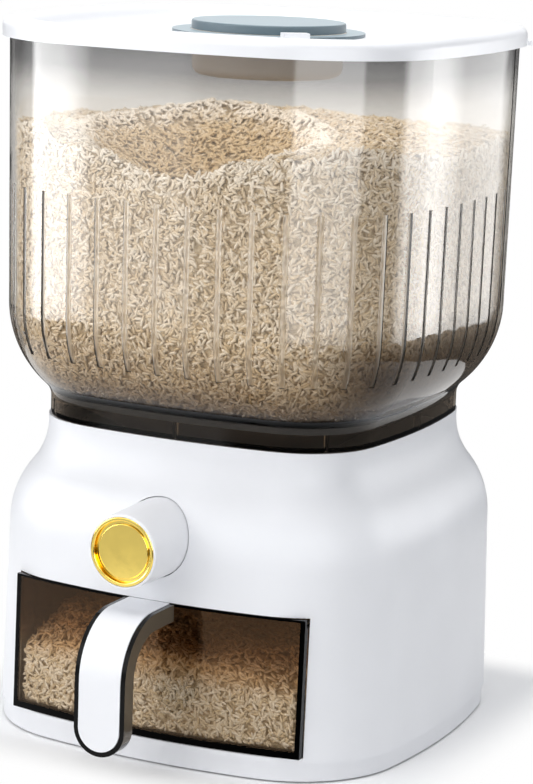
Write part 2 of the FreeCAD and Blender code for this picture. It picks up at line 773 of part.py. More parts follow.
def funnel_gasket():
    """Black band round the funnel's flange, against the hopper's neck."""
    body = new_body("funnel_gasket")
    outer = FLANGE_HALF_WIDTH + size.gasket_width
    add_wall(
        body,
        HOPPER,
        [
            (FLANGE_HALF_WIDTH, FLANGE_BOTTOM),
            (outer, FLANGE_BOTTOM),
            (outer, size.funnel_top_height),
            (FLANGE_HALF_WIDTH, size.funnel_top_height),
        ],
    )
    return body


def gate_housing():
    """Block under the spout with a channel for the slide and an outlet slot through roof and floor."""
    body = new_body("gate_housing")
    outer = GATE_INNER + size.gate_side
    half_length = size.gate_half_length
    floor = new_sketch(body, "XY_Plane", GATE_BOTTOM)
    block = draw_rectangle(floor, -outer, outer, -half_length, half_length)
    pad(body, block, GATE_TOP - GATE_BOTTOM)
    channel = draw_rectangle(
        new_sketch(body, "XZ_Plane"),
        -GATE_INNER,
        GATE_INNER,
        size.button_height - GATE_HALF_GAP,
        size.button_height + GATE_HALF_GAP,
    )
    cut(body, channel, 2 * half_length, symmetric=True)
    cut(body, outlet_slot(body, GATE_TOP), GATE_TOP - GATE_BOTTOM)
    return body


def outlet_slot(body, height):
    sketch = new_sketch(body, "XY_Plane", height)
    half_length = size.slot_length / 2
    return draw_rectangle(sketch, -size.slot_half_width, size.slot_half_width, -half_length, half_length)


def outlet_chute():
    """Upright channel from the gate through the deck to the drawer, with a foot on the deck."""
    body = new_body("outlet_chute")
    bottom = DECK_BOTTOM - size.chute_drop
    column = draw_rectangle(
        new_sketch(body, "XY_Plane", bottom),
        -CHUTE_HALF_WIDTH,
        CHUTE_HALF_WIDTH,
        -CHUTE_HALF_LENGTH,
        CHUTE_HALF_LENGTH,
    )
    pad(body, column, GATE_BOTTOM - bottom)
    half_width = CHUTE_HALF_WIDTH + size.chute_flange
    half_length = CHUTE_HALF_LENGTH + size.chute_flange
    deck = new_sketch(body, "XY_Plane", DECK_TOP)
    flange = draw_rectangle(deck, -half_width, half_width, -half_length, half_length)
    pad(body, flange, size.chute_wall)
    cut(body, outlet_slot(body, GATE_BOTTOM), GATE_BOTTOM - bottom)
    return body


def button_guide():
    """Tube behind the shell in which the button's collar runs, with a front lip, an end wall and a saddle."""
    body = new_body("button_guide")
    lip = size.button_rear_radius + size.fit_clearance
    corners = [
        (0, GUIDE_BACK),
        (GUIDE_OUTER, GUIDE_BACK),
        (GUIDE_OUTER, GUIDE_FRONT),
        (lip, GUIDE_FRONT),
        (lip, GUIDE_FRONT - size.guide_wall),
        (GUIDE_INNER, GUIDE_FRONT - size.guide_wall),
        (GUIDE_INNER, GUIDE_BACK + size.guide_wall),
        (0, GUIDE_BACK + size.guide_wall),
    ]
    half_width = size.guide_foot_half_width
    foot_top = (GUIDE_INNER + GUIDE_OUTER) / 2
    cheek = root(foot_top * foot_top - half_width * half_width)
    saddle = draw_rectangle(
        new_sketch(body, "XY_Plane", GUIDE_BACK),
        -half_width,
        half_width,
        DECK_TOP - size.button_height,
        -cheek,
    )
    pad(body, saddle, size.guide_foot_length)
    revolve(body, draw_loop(new_sketch(body, "XZ_Plane"), corners))
    half_hole = size.slide_thickness / 2 + size.slide_clearance
    across = size.rod_half_width + size.slide_clearance
    hole = draw_rectangle(
        new_sketch(body, "XY_Plane", GUIDE_BACK + size.guide_wall), -across, across, -half_hole, half_hole
    )
    cut(body, hole, size.guide_wall)
    face_forward(body)
    return body


def return_spring():
    """Coil spring between the end of the guide and the button's front wall."""
    body = new_body("return_spring")
    wire = size.spring_wire / 2
    start = GUIDE_BACK + size.guide_wall + wire
    sketch = draw_circle(new_sketch(body, "XZ_Plane"), size.spring_radius, start, wire)
    coil = body.newObject("PartDesign::AdditiveHelix", "AdditiveHelix")
    coil.Profile = sketch
    coil.ReferenceAxis = (sketch, ["V_Axis"])
    coil.Mode = "height-turns-angle"
    bind(coil, "Height", BUTTON_FRONT - size.button_front_wall - wire - start)
    bind(coil, "Turns", size.spring_turns)
    face_forward(body)
    return body


# Button ---------------------------------------------------------------------------------------------


def button_shell():
    """Hollow tapered button with a recess for the gold ring and a stop collar at the rear."""
    body = new_body("button_shell")
    back = COLLAR_FRONT - size.collar_thickness
    taper_end = BUTTON_FRONT - size.button_taper
    edge = size.button_edge_radius
    inner_front = BUTTON_FRONT - size.button_front_wall
    rear_inner = size.button_rear_radius - size.button_wall
    recess = size.bezel_radius + size.fit_clearance / 2
    corners = [
        (rear_inner, back),
        (COLLAR_RADIUS, back),
        (COLLAR_RADIUS, COLLAR_FRONT),
        (size.button_rear_radius, COLLAR_FRONT),
        (size.button_rear_radius, taper_end),
        (size.button_front_radius, BUTTON_FRONT - edge),
        (size.button_front_radius - edge, BUTTON_FRONT, edge),
        (recess, BUTTON_FRONT),
        (recess, BEZEL_SEAT),
        (0, BEZEL_SEAT),
        (0, inner_front),
        (size.button_front_radius - size.button_wall, inner_front),
        (rear_inner, taper_end),
    ]
    revolve(body, draw_loop(new_sketch(body, "XZ_Plane"), corners))
    face_forward(body)
    return body


def button_bezel():
    """Gold ring: a rounded rim, a steep inner wall and a channel round the disc."""
    body = new_body("button_bezel")
    top = BUTTON_FRONT + size.bezel_proud
    edge = size.bezel_edge
    channel = BEZEL_SEAT + size.bezel_floor
    outer = size.bezel_radius
    rim = outer - size.bezel_rim
    inner = size.face_radius + size.fit_clearance / 2
    corners = [
        (inner, BEZEL_SEAT),
        (outer, BEZEL_SEAT),
        (outer, top - edge),
        (outer - edge, top, edge),
        (rim + edge, top),
        (rim, top - edge, edge),
        (rim - size.bezel_draft, channel),
        (inner, channel),
    ]
    revolve(body, draw_loop(new_sketch(body, "XZ_Plane"), corners))
    face_forward(body)
    return body


def button_face():
    """Gold disc at the bottom of the ring."""
    body = new_body("button_face")
    edge = size.face_thickness / 4
    corners = [
        (0, BEZEL_SEAT),
        (size.face_radius, BEZEL_SEAT),
        (size.face_radius, BEZEL_SEAT + size.face_thickness - edge),
        (size.face_radius - edge, BEZEL_SEAT + size.face_thickness, edge),
        (0, BEZEL_SEAT + size.face_thickness),
    ]
    revolve(body, draw_loop(new_sketch(body, "XZ_Plane"), corners))
    face_forward(body)
    return body


def dose_slide():
    """Push rod and metering plate; its slot meets the outlet when the button is pressed home."""
    body = new_body("dose_slide")
    bottom = size.button_height - size.slide_thickness / 2
    slot_front = -size.button_travel - size.slot_length / 2
    slot_back = slot_front + size.slot_length
    front = slot_front - size.slide_cover
    back = slot_back + size.slide_cover
    rod_front = size.button_front_wall - BUTTON_FRONT
    corners = [
        (-size.rod_half_width, rod_front),
        (size.rod_half_width, rod_front),
        (size.rod_half_width, front),
        (size.slide_half_width, front),
        (size.slide_half_width, back),
        (-size.slide_half_width, back),
        (-size.slide_half_width, front),
        (-size.rod_half_width, front),
    ]
    pad(body, draw_loop(new_sketch(body, "XY_Plane", bottom), corners), size.slide_thickness)
    top = bottom + size.slide_thickness
    slot = draw_rectangle(
        new_sketch(body, "XY_Plane", top), -size.slot_half_width, size.slot_half_width, slot_front, slot_back
    )
    cut(body, slot, size.slide_thickness)
    return body


# Hopper ---------------------------------------------------------------------------------------------


def hopper_shell():
    """Clear hopper: fluted walls, bowl-shaped shoulder, neck with ribs and a skirt inside the base."""
    body = new_body("hopper_shell")
    wall = size.hopper_wall
    bend = HOPPER_SHOULDER
    rim = size.hopper_half_width
    seat = size.base_top_height
    skirt_bottom = seat - size.skirt_depth
    neck_inner = bend.neck - wall
    add_wall(
        body,
        HOPPER,
        [
            (SKIRT_INNER, skirt_bottom),
            (SKIRT_HALF_WIDTH, skirt_bottom),
            (SKIRT_HALF_WIDTH, seat),
            (bend.neck, seat),
            (bend.neck, bend.neck_height),
            (*bend.blend(0), -bend.concave),
            (*bend.start(0), bend.convex),
            (rim, size.hopper_rim_height),
            (rim - wall, size.hopper_rim_height),
            bend.start(wall),
            (*bend.blend(wall), wall - bend.convex),
            (neck_inner, bend.neck_height, bend.concave + wall),
            (neck_inner, seat + wall),
            (SKIRT_INNER, seat),
        ],
    )
    neck_ribs(body)
    cut_flutes(body)
    return body


def neck_ribs(body):
    """Eight upright ribs inside the neck, which carry the funnel's flange."""
    inner = SKIRT_INNER
    outer = HOPPER_SHOULDER.neck - size.hopper_wall / 2
    ribs = []
    for sketch in (new_sketch(body, "XZ_Plane"), corner_sketch(body, HOPPER, QUARTER_MIDDLE)):
        draw_rectangle(sketch, inner, outer, size.base_top_height, FLANGE_BOTTOM)
        ribs.append(pad(body, sketch, size.neck_rib_width, symmetric=True))
    turn_round(body, ribs)


def cut_flutes(body):
    """Round-bottomed grooves that follow the wall and run down over the shoulder, all round the hopper."""
    bend = HOPPER_SHOULDER
    half_width = size.flute_width / 2
    round_radius = (half_width * half_width + size.flute_depth * size.flute_depth) / (2 * size.flute_depth)
    outside = round_radius - size.flute_depth
    top = hopper_half_width_at(size.flute_top) + outside
    corners = [
        (top, size.flute_top),
        bend.start(-outside),
        (bend.place_at(size.flute_bottom, -outside), size.flute_bottom, -outside - bend.convex),
    ]
    corner_top = HOPPER.corner_place + (top - HOPPER.corner_axis) * cosine(QUARTER_MIDDLE)
    half_side = HOPPER.side_turn * HOPPER.side_radius * (math.pi / 180)
    half_corner = (QUARTER_MIDDLE - HOPPER.side_turn) * HOPPER.corner_radius * (math.pi / 180)
    side_path = new_sketch(body, "XZ_Plane")
    corner_path = corner_sketch(body, HOPPER, QUARTER_MIDDLE)
    for path, across, along, axis, radius, half_arc in (
        (side_path, top, 0, HOPPER.side_axis, HOPPER.side_radius, half_side),
        (corner_path, corner_top, corner_top, HOPPER.corner_axis, HOPPER.corner_radius, half_corner),
    ):
        draw_path(path, corners)
        draw_axis(path, axis)
        section = draw_circle(new_sketch(body, "XY_Plane", size.flute_top), across, along, round_radius)
        groove = cut_along(body, section, path)
        count = int(half_arc.number / size.flute_pitch.number) + 1
        step = size.flute_pitch / radius * (180 / math.pi)
        repeat_groove(body, groove, path, count, step)


def repeat_groove(body, groove, sketch, count, step):
    """Steps a groove along its arc to both sides and round the four quarters."""
    pattern = body.newObject("PartDesign::MultiTransform", "MultiTransform")
    along = body.newObject("PartDesign::PolarPattern", "PolarPattern")
    along.Axis = (sketch, ["Axis0"])
    along.Mode = "Spacing"
    along.Occurrences = count
    bind(along, "Offset", step)
    mirror = body.newObject("PartDesign::Mirrored", "Mirrored")
    mirror.MirrorPlane = (sketch, [""])
    quarters = body.newObject("PartDesign::PolarPattern", "PolarPattern")
    quarters.Axis = (upright_axis(body), [""])
    quarters.Angle = 360
    quarters.Occurrences = 4
    pattern.Originals = [groove]
    pattern.Transformations = [along, mirror, quarters]
    body.Tip = pattern
    DOCUMENT.recompute()


# Drawer ---------------------------------------------------------------------------------------------


def front_arc(half_width, height, depth):
    """Ends of an arc concentric with the base's front wall, depth behind its face at a height."""
    radius = size.base_side_radius - size.base_half_width + base_half_width_at(height) - depth
    along = -BASE.side_axis - root(radius * radius - half_width * half_width)
    return along, radius


def drawer_tray():
    """Clear drawer whose front continues the curve of the base shell."""
    body = new_body("drawer_tray")
    half_width = DRAWER_HALF_WIDTH
    inner = half_width - size.drawer_wall
    front = -size.base_half_width
    block = draw_rectangle(
        new_sketch(body, "XY_Plane", DRAWER_BOTTOM), -half_width, half_width, front, size.drawer_back
    )
    pad(body, block, DRAWER_TOP - DRAWER_BOTTOM)
    outside = new_sketch(body, "YZ_Plane")
    beyond = -size.base_half_width - half_width
    draw_loop(
        outside,
        [
            (-base_half_width_at(size.seam_height), size.seam_height),
            (-base_half_width_at(size.window_top), size.window_top),
            (beyond, size.window_top),
            (beyond, size.seam_height),
        ],
    )
    draw_axis(outside, -BASE.side_axis)
    revolve(body, outside, FRONT_SWEEP, "PartDesign::Groove", "Axis0")
    along, radius = front_arc(inner, DRAWER_TOP, size.drawer_wall)
    hollow = draw_loop(
        new_sketch(body, "XY_Plane", DRAWER_TOP),
        [
            (inner, along, radius),
            (inner, size.drawer_back - size.drawer_wall),
            (-inner, size.drawer_back - size.drawer_wall),
            (-inner, along),
        ],
    )
    cut(body, hollow, DRAWER_TOP - DRAWER_BOTTOM - size.drawer_floor)
    sides = draw_rectangle(
        new_sketch(body, "XY_Plane", DRAWER_TOP), -half_width, half_width, along, size.drawer_back
    )
    cut(body, sides, size.drawer_side_drop)
    return body


def strap_profile(outer, thickness, bottom, top):
    """Side view of a strap from the drawer front forward and down; outer is its front face."""
    start = -base_half_width_at(DRAWER_TOP - size.handle_thickness)
    bend = size.handle_bend - (HANDLE_REACH - outer)
    turn = HANDLE_REACH - size.handle_bend
    return [
        (-turn, top),
        (-outer, top - bend, bend),
        (-outer, bottom),
        (thickness - outer, bottom),
        (thickness - outer, top - bend),
        (-turn, top - thickness, thickness - bend),
        (start, top - thickness),
        (start, top),
    ]


def round_tip(body, half_width, bottom):
    """Rounds the lower end of a strap to a half circle about the handle's tip axis."""
    below = bottom - half_width
    sketch = draw_loop(
        new_sketch(body, "XZ_Plane"),
        [
            (0, bottom, -half_width),
            (-half_width, HANDLE_TIP, -half_width),
            (-half_width, below),
            (half_width, below),
            (half_width, HANDLE_TIP),
        ],
    )
    cut(body, sketch, HANDLE_REACH + half_width, backward=True)


def drawer_handle():
    """Clear grey strap that stands out from the drawer's upper edge and hangs down before it."""
    body = new_body("drawer_handle")
    strap = strap_profile(HANDLE_REACH, size.handle_thickness, size.handle_bottom, DRAWER_TOP)
    pad(body, draw_loop(new_sketch(body, "YZ_Plane"), strap), 2 * size.handle_half_width, symmetric=True)
    round_tip(body, size.handle_half_width, size.handle_bottom)
    depth = size.cover_thickness - size.cover_proud
    slot = size.cover_half_width + size.fit_clearance / 2
    bed = strap_profile(HANDLE_REACH, depth, HANDLE_TIP, DRAWER_TOP)
    cut(body, draw_loop(new_sketch(body, "YZ_Plane"), bed), 2 * slot, symmetric=True)
    end = draw_circle(new_sketch(body, "XZ_Plane", HANDLE_REACH - depth), 0, HANDLE_TIP, slot)
    cut(body, end, depth + slot, backward=True)
    return body


def handle_cover():
    """White inlay along the strap's outer face."""
    body = new_body("handle_cover")
    proud = size.cover_proud
    bottom = HANDLE_TIP - size.cover_half_width
    strap = strap_profile(HANDLE_REACH + proud, size.cover_thickness, bottom, DRAWER_TOP + proud)
    pad(body, draw_loop(new_sketch(body, "YZ_Plane"), strap), 2 * size.cover_half_width, symmetric=True)
    round_tip(body, size.cover_half_width, bottom)
    return body


# Lid ------------------------------------------------------------------------------------------------


def lid_shell():
    """Dished lid with an outer skirt over the hopper's rim, an inner skirt for the seal and a lift lip."""
    body = new_body("lid_shell")
    edge = size.lid_edge_radius
    bend = size.lid_dish_radius
    thick = size.lid_thickness
    top = LID_TOP
    rim_inner = LID_HALF_WIDTH - edge - size.lid_rim_width
    lean_cosine = 1 - size.lid_dish_depth / (2 * bend)
    lean_sine = root(1 - lean_cosine * lean_cosine)
    dish_edge = rim_inner - 2 * bend * lean_sine
    floor_end = dish_edge - thick
    skirt_inner = LID_HALF_WIDTH - size.lid_wall
    plug_inner = PLUG_OUTER - size.plug_wall
    slope_top = (rim_inner - bend * lean_sine, top - bend + bend * lean_cosine)
    slope_bottom = (rim_inner - (bend - thick) * lean_sine, top - bend + (bend - thick) * lean_cosine)
    add_wall(
        body,
        HOPPER,
        [
            (LID_HALF_WIDTH, LID_BOTTOM),
            (LID_HALF_WIDTH, top - edge),
            (LID_HALF_WIDTH - edge, top, edge),
            (rim_inner, top),
            (*slope_top, bend),
            (dish_edge, DISH_TOP, -bend),
            (floor_end, DISH_TOP),
            (floor_end, DISH_BOTTOM),
            (dish_edge, DISH_BOTTOM),
            (*slope_bottom, bend + thick),
            (rim_inner, LID_ROOF, thick - bend),
            (plug_inner, LID_ROOF),
            (plug_inner, PLUG_BOTTOM),
            (PLUG_OUTER, PLUG_BOTTOM),
            (PLUG_OUTER, LID_ROOF),
            (skirt_inner, LID_ROOF),
            (skirt_inner, LID_BOTTOM),
        ],
    )
    floor = draw_plan(new_sketch(body, "XY_Plane", DISH_BOTTOM), HOPPER, dish_edge - thick / 2)
    pad(body, floor, thick)
    hole = draw_circle(new_sketch(body, "XY_Plane", DISH_TOP), 0, 0, SEAT_OUTER + size.fit_clearance)
    cut(body, hole, thick)
    lip = corner_sketch(body, HOPPER, size.lip_turn)
    draw_rectangle(
        lip,
        skirt_inner,
        LID_HALF_WIDTH + size.lip_reach,
        LID_BOTTOM,
        LID_BOTTOM + size.lip_thickness,
    )
    draw_axis(lip, HOPPER.corner_axis)
    revolve(body, lip, size.lip_angle, axis="Axis0")
    return body


def lid_seal():
    """Soft seal round the lid's inner skirt."""
    body = new_body("lid_seal")
    bottom = PLUG_BOTTOM + size.seal_height / 2
    top = bottom + size.seal_height
    crest = hopper_half_width_at(bottom) - size.hopper_wall - size.fit_clearance
    shallow = (crest + PLUG_OUTER) / 2
    add_wall(
        body,
        HOPPER,
        [
            (PLUG_OUTER, bottom),
            (shallow, bottom),
            (crest, (bottom + top) / 2),
            (shallow, top),
            (PLUG_OUTER, top),
        ],
    )
    return body


def cup_seat():
    """Grey ring in the middle of the lid that carries the moisture cup."""
    body = new_body("cup_seat")
    collar_bottom = DISH_TOP - size.seat_depth
    step = CUP_LIP_RADIUS + size.fit_clearance
    corners = [
        (SEAT_INNER, collar_bottom),
        (SEAT_OUTER, collar_bottom),
        (SEAT_OUTER, DISH_TOP),
        (size.seat_radius, DISH_TOP),
        (size.seat_radius, SEAT_TOP),
        (step, SEAT_TOP),
        (step, CUP_LIP_BOTTOM),
        (SEAT_INNER, CUP_LIP_BOTTOM),
    ]
    revolve(body, draw_loop(new_sketch(body, "XZ_Plane"), corners))
    return body


def moisture_cup():
    """Cup below the lid for a drying agent, hung by its lip."""
    body = new_body("moisture_cup")
    outer = size.cup_radius
    edge = size.cup_edge_radius
    bottom = SEAT_TOP - size.cup_depth
    wall = size.cup_wall
    corners = [
        (0, bottom),
        (outer - edge, bottom),
        (outer, bottom + edge, edge),
        (outer, CUP_LIP_BOTTOM),
        (CUP_LIP_RADIUS, CUP_LIP_BOTTOM),
        (CUP_LIP_RADIUS, SEAT_TOP),
        (CUP_INNER, SEAT_TOP),
        (CUP_INNER, bottom + edge),
        (outer - edge, bottom + wall, wall - edge),
        (0, bottom + wall),
    ]
    revolve(body, draw_loop(new_sketch(body, "XZ_Plane"), corners))
    return body


def index_tab():
    """White tab on the lid's dish that marks the closed place of the cap."""
    body = new_body("index_tab")
    near = size.seat_radius + size.fit_clearance
    block = draw_rectangle(
        new_sketch(body, "XY_Plane"), near, near + size.tab_length, -size.tab_half_width, size.tab_half_width
    )
    pad(body, block, size.tab_height)
    rotation = FreeCAD.Rotation(Vector(0, 0, 1), -size.tab_turn.number)
    body.Placement = FreeCAD.Placement(Vector(0, 0, 0), rotation)
    bind(body, "Placement.Rotation.Angle", -size.tab_turn)
    place(body, up=DISH_TOP)
    return body


# Cap ------------------------------------------------------------------------------------------------


def cap_disc():
    """Grey cap with a rounded edge and a plug that fits the moisture cup."""
    body = new_body("cap_disc")
    edge = size.cap_edge_radius
    top = LID_TOP
    plug = CAP_PLUG
    bottom = CAP_BOTTOM - size.cap_plug_depth
    groove_bottom = bottom + (size.cap_plug_depth - size.cap_gasket_height) / 2
    groove_top = groove_bottom + size.cap_gasket_height
    corners = [
        (plug - size.cap_plug_wall, bottom),
        (plug, bottom),
        (plug, groove_bottom),
        (plug - size.cap_gasket_depth, groove_bottom),
        (plug - size.cap_gasket_depth, groove_top),
        (plug, groove_top),
        (plug, CAP_BOTTOM),
        (size.cap_radius, CAP_BOTTOM),
        (size.cap_radius, top - edge),
        (size.cap_radius - edge, top, edge),
        (0, top),
        (0, CAP_BOTTOM),
        (plug - size.cap_plug_wall, CAP_BOTTOM),
    ]
    revolve(body, draw_loop(new_sketch(body, "XZ_Plane"), corners))
    return body


def cap_gasket():
    """Soft ring in the groove of the cap's plug."""
    body = new_body("cap_gasket")
    bottom = CAP_BOTTOM - (size.cap_plug_depth + size.cap_gasket_height) / 2
    ring = draw_rectangle(
        new_sketch(body, "XZ_Plane"),
        CAP_PLUG - size.cap_gasket_depth,
        CUP_INNER - size.fit_clearance,
        bottom,
        bottom + size.cap_gasket_height,
    )
    revolve(body, ring)
    return body


# Assembly -------------------------------------------------------------------------------------------


def build():
    bodies = [base_plate(), base_shell(), drawer_deck()]
    names = ("foot_front_left", "foot_front_right", "foot_rear_left", "foot_rear_right")
    for name, (across, along) in zip(names, foot_places()):
        bodies.append(foot(name, across, along))
    bodies += [runner("runner_left", -1), runner("runner_right", 1)]
    bodies += [funnel(), funnel_gasket(), gate_housing(), outlet_chute(), button_guide(), return_spring()]
    bodies += [hopper_shell()]
    bodies += [button_shell(), button_bezel(), button_face(), dose_slide()]
    bodies += [drawer_tray(), drawer_handle(), handle_cover()]
    bodies += [lid_shell(), lid_seal(), cup_seat(), moisture_cup(), index_tab()]
    bodies += [cap_disc(), cap_gasket()]
    return bodies


def check(bodies):
    """Stops at any feature that failed and at any sub-part that is not one valid solid."""
    for item in DOCUMENT.Objects:
        if "Invalid" in item.State or "Error" in item.State:
            raise RuntimeError(f"{item.Name} ({item.Label}) failed: {item.State}")
    for body in bodies:
        shape = body.Shape
        if shape.isNull() or not shape.isValid() or len(shape.Solids) != 1:
            raise RuntimeError(f"{body.Label} is not one valid solid")


def export(bodies):
    os.makedirs("parts", exist_ok=True)
    for body in bodies:
        body.Shape.exportStep(f"parts/{body.Label}.step")
        box = body.Shape.BoundBox
        print(f"{body.Label}: {box.XLength:.1f} x {box.YLength:.1f} x {box.ZLength:.1f} mm")


def main():
    bodies = build()
    DOCUMENT.recompute()
    check(bodies)
    export(bodies)


main()
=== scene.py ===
"""Rice dispenser with drawer: finishes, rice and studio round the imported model."""

import json
import math

import bpy
import numpy as np
from mathutils import Matrix, Vector


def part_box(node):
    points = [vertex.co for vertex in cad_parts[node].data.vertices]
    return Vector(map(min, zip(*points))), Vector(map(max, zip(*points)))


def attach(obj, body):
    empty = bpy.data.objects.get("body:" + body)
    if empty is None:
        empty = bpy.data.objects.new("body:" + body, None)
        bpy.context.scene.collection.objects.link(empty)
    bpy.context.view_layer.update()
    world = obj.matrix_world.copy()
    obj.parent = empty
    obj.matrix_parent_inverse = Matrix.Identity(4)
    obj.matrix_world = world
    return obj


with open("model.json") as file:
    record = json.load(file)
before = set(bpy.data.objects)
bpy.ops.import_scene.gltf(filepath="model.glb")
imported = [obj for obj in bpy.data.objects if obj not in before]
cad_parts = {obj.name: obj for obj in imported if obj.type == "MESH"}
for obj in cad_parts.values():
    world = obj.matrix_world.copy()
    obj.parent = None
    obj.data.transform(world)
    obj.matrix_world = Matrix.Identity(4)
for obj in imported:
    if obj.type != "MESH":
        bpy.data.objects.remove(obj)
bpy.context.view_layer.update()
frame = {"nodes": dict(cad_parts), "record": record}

MM = 0.001

# Hopper: its outer face at rim and waist, its wall and its shoulder.
HOPPER_HALF_WIDTH = 0.1254
HOPPER_SIDE_RADIUS = 0.440
HOPPER_CORNER_RADIUS = 0.074
HOPPER_WALL = 0.0026
HOPPER_RIM_HEIGHT = 0.3832
HOPPER_WAIST_HALF_WIDTH = 0.1235
HOPPER_WAIST_HEIGHT = 0.2326
HOPPER_SHOULDER_RADIUS = 0.060
HOPPER_DRAFT = (HOPPER_HALF_WIDTH - HOPPER_WAIST_HALF_WIDTH) / (HOPPER_RIM_HEIGHT - HOPPER_WAIST_HEIGHT)

# Its plan, a loop of tangent arcs: where the arcs' axes stand, their angles and their lengths.
SIDE_AXIS = HOPPER_HALF_WIDTH - HOPPER_SIDE_RADIUS
REACH = HOPPER_SIDE_RADIUS - HOPPER_CORNER_RADIUS
CORNER_AXIS = (math.sqrt(2 * REACH**2 - SIDE_AXIS**2) + SIDE_AXIS) / 2
SIDE_TURN = math.atan2(CORNER_AXIS, CORNER_AXIS - SIDE_AXIS)
SIDE_RUN = 2 * SIDE_TURN * HOPPER_SIDE_RADIUS
CORNER_RUN = (math.pi / 2 - 2 * SIDE_TURN) * HOPPER_CORNER_RADIUS
QUARTER_RUN = SIDE_RUN + CORNER_RUN

# Rice: foot of the heap in the hopper, and one grain.
RICE_BOTTOM = 0.1875
GRAIN_LENGTH = 0.0054
GRAIN_WIDTH = 0.0016
GRAIN_THICKNESS = 0.0014

# Smallest and largest grain beside that one.
GRAIN_SIZES = (0.86, 1.1)

# Refractive indices.
ABS_INDEX = 1.53
SAN_INDEX = 1.57
POLYPROPYLENE_INDEX = 1.49

# Colours and nodes ----------------------------------------------------------------------------------


def linear(code):
    """Linear colour with alpha from an sRGB hex value."""
    parts = [int(code[i : i + 2], 16) / 255 for i in (1, 3, 5)]
    return tuple(c / 12.92 if c <= 0.04045 else ((c + 0.055) / 1.055) ** 2.4 for c in parts) + (1.0,)


def put(tree, kind, values=None, links=None, **settings):
    """Adds a node; values fill its inputs and links join other nodes' outputs to them."""
    node = tree.nodes.new(kind)
    for key, value in settings.items():
        setattr(node, key, value)
    for key, value in (values or {}).items():
        node.inputs[key].default_value = value
    for key, source in (links or {}).items():
        tree.links.new(source, node.inputs[key])
    return node


def new_material(name):
    material = bpy.data.materials.new(name)
    material.use_nodes = True
    material.node_tree.nodes.clear()
    return material, material.node_tree


def finish_with(tree, surface, volume=None):
    links = {"Surface": surface}
    if volume is not None:
        links["Volume"] = volume
    put(tree, "ShaderNodeOutputMaterial", links=links)


# Range that noise fills, as it stays near the middle.
NOISE_LOW = 0.3
NOISE_HIGH = 0.7


def texture(tree, size, detail=2.0):
    """Noise over the piece with spots of about this size."""
    place = put(tree, "ShaderNodeTexCoord")
    return put(
        tree,
        "ShaderNodeTexNoise",
        {"Scale": 1 / size, "Detail": detail, "Roughness": 0.55},
        {"Vector": place.outputs["Object"]},
    )


def spread(tree, factor, low, high):
    """Maps noise to a range."""
    values = {"From Min": NOISE_LOW, "From Max": NOISE_HIGH, "To Min": low, "To Max": high}
    return put(tree, "ShaderNodeMapRange", values, {"Value": factor}).outputs["Result"]


def relief(tree, height, distance, normal=None):
    """Bump of this depth in metres, on top of another one where its normal is given."""
    links = {"Height": height}
    if normal is not None:
        links["Normal"] = normal
    values = {"Distance": distance, "Strength": 1.0}
    return put(tree, "ShaderNodeBump", values, links).outputs["Normal"]


def ramp_through(tree, factor, marks):
    """Colour ramp through (position, linear colour) marks."""
    ramp = put(tree, "ShaderNodeValToRGB", links={"Fac": factor})
    elements = ramp.color_ramp.elements
    while len(elements) > 1:
        elements.remove(elements[-1])
    for index, (position, colour) in enumerate(marks):
        element = elements[0] if index == 0 else elements.new(position)
        element.position = position
        element.color = colour
    return ramp.outputs["Color"]


def tones(tree, factor, dark, light):
    """Colour that wanders with noise between two tones."""
    return ramp_through(tree, factor, [(NOISE_LOW, linear(dark)), (NOISE_HIGH, linear(light))])


def coordinate(tree, source, axis):
    """One axis of the piece's own place ("Object") or normal ("Normal")."""
    place = put(tree, "ShaderNodeTexCoord")
    return put(tree, "ShaderNodeSeparateXYZ", links={0: place.outputs[source]}).outputs[axis]


def math_with(tree, value, number, kind):
    """Math node on an output and a number."""
    return put(tree, "ShaderNodeMath", {1: number}, {0: value}, operation=kind).outputs[0]


def math_of(tree, kind, first, second):
    """Math node on two outputs."""
    return put(tree, "ShaderNodeMath", links={0: first, 1: second}, operation=kind).outputs[0]


def absolute(tree, value):
    return put(tree, "ShaderNodeMath", links={0: value}, operation="ABSOLUTE").outputs[0]


def distance_to(tree, across, along):
    """Length of a flat vector from its two outputs."""
    flat = put(tree, "ShaderNodeCombineXYZ", links={0: across, 1: along})
    length = put(tree, "ShaderNodeVectorMath", links={0: flat.outputs[0]}, operation="LENGTH")
    return length.outputs["Value"]


def ranged(tree, value, start, end, low=0.0, high=1.0):
    """Runs smoothly from low to high as the value goes from start to end."""
    share = put(
        tree,
        "ShaderNodeMapRange",
        {"From Min": start, "From Max": end, "To Min": low, "To Max": high},
        {"Value": value},
        interpolation_type="SMOOTHSTEP",
    )
    return share.outputs["Result"]


def mix_colours(tree, first, second, factor=None, kind="MIX"):
    """Mixes two colours, each a hex value or a node's output; the whole way where no factor is given."""
    mix = put(tree, "ShaderNodeMix", data_type="RGBA", blend_type=kind)
    if factor is None:
        mix.inputs["Factor"].default_value = 1.0
    else:
        tree.links.new(factor, mix.inputs["Factor"])
    for colour, place in ((first, 6), (second, 7)):
        if isinstance(colour, str):
            mix.inputs[place].default_value = linear(colour)
        else:
            tree.links.new(colour, mix.inputs[place])
    return mix.outputs[2]


def mixed(tree, factor, first, second):
    """First colour where the factor is 0, second where it is 1."""
    return mix_colours(tree, first, second, factor)


def by_height(tree, stops):
    """Colour by height above the table, through (metres, hex) stops."""
    low, high = stops[0][0], stops[-1][0]
    share = put(
        tree,
        "ShaderNodeMapRange",
        {"From Min": low, "From Max": high},
        {"Value": coordinate(tree, "Object", "Z")},
    )
    marks = [((height - low) / (high - low), linear(code)) for height, code in stops]
    return ramp_through(tree, share.outputs["Result"], marks)


def mix_shaders(tree, factor, first, second):
    """First shader where the factor is 0, second where it is 1."""
    mix = put(tree, "ShaderNodeMixShader", links={0: factor, 1: first, 2: second})
    return mix.outputs["Shader"]


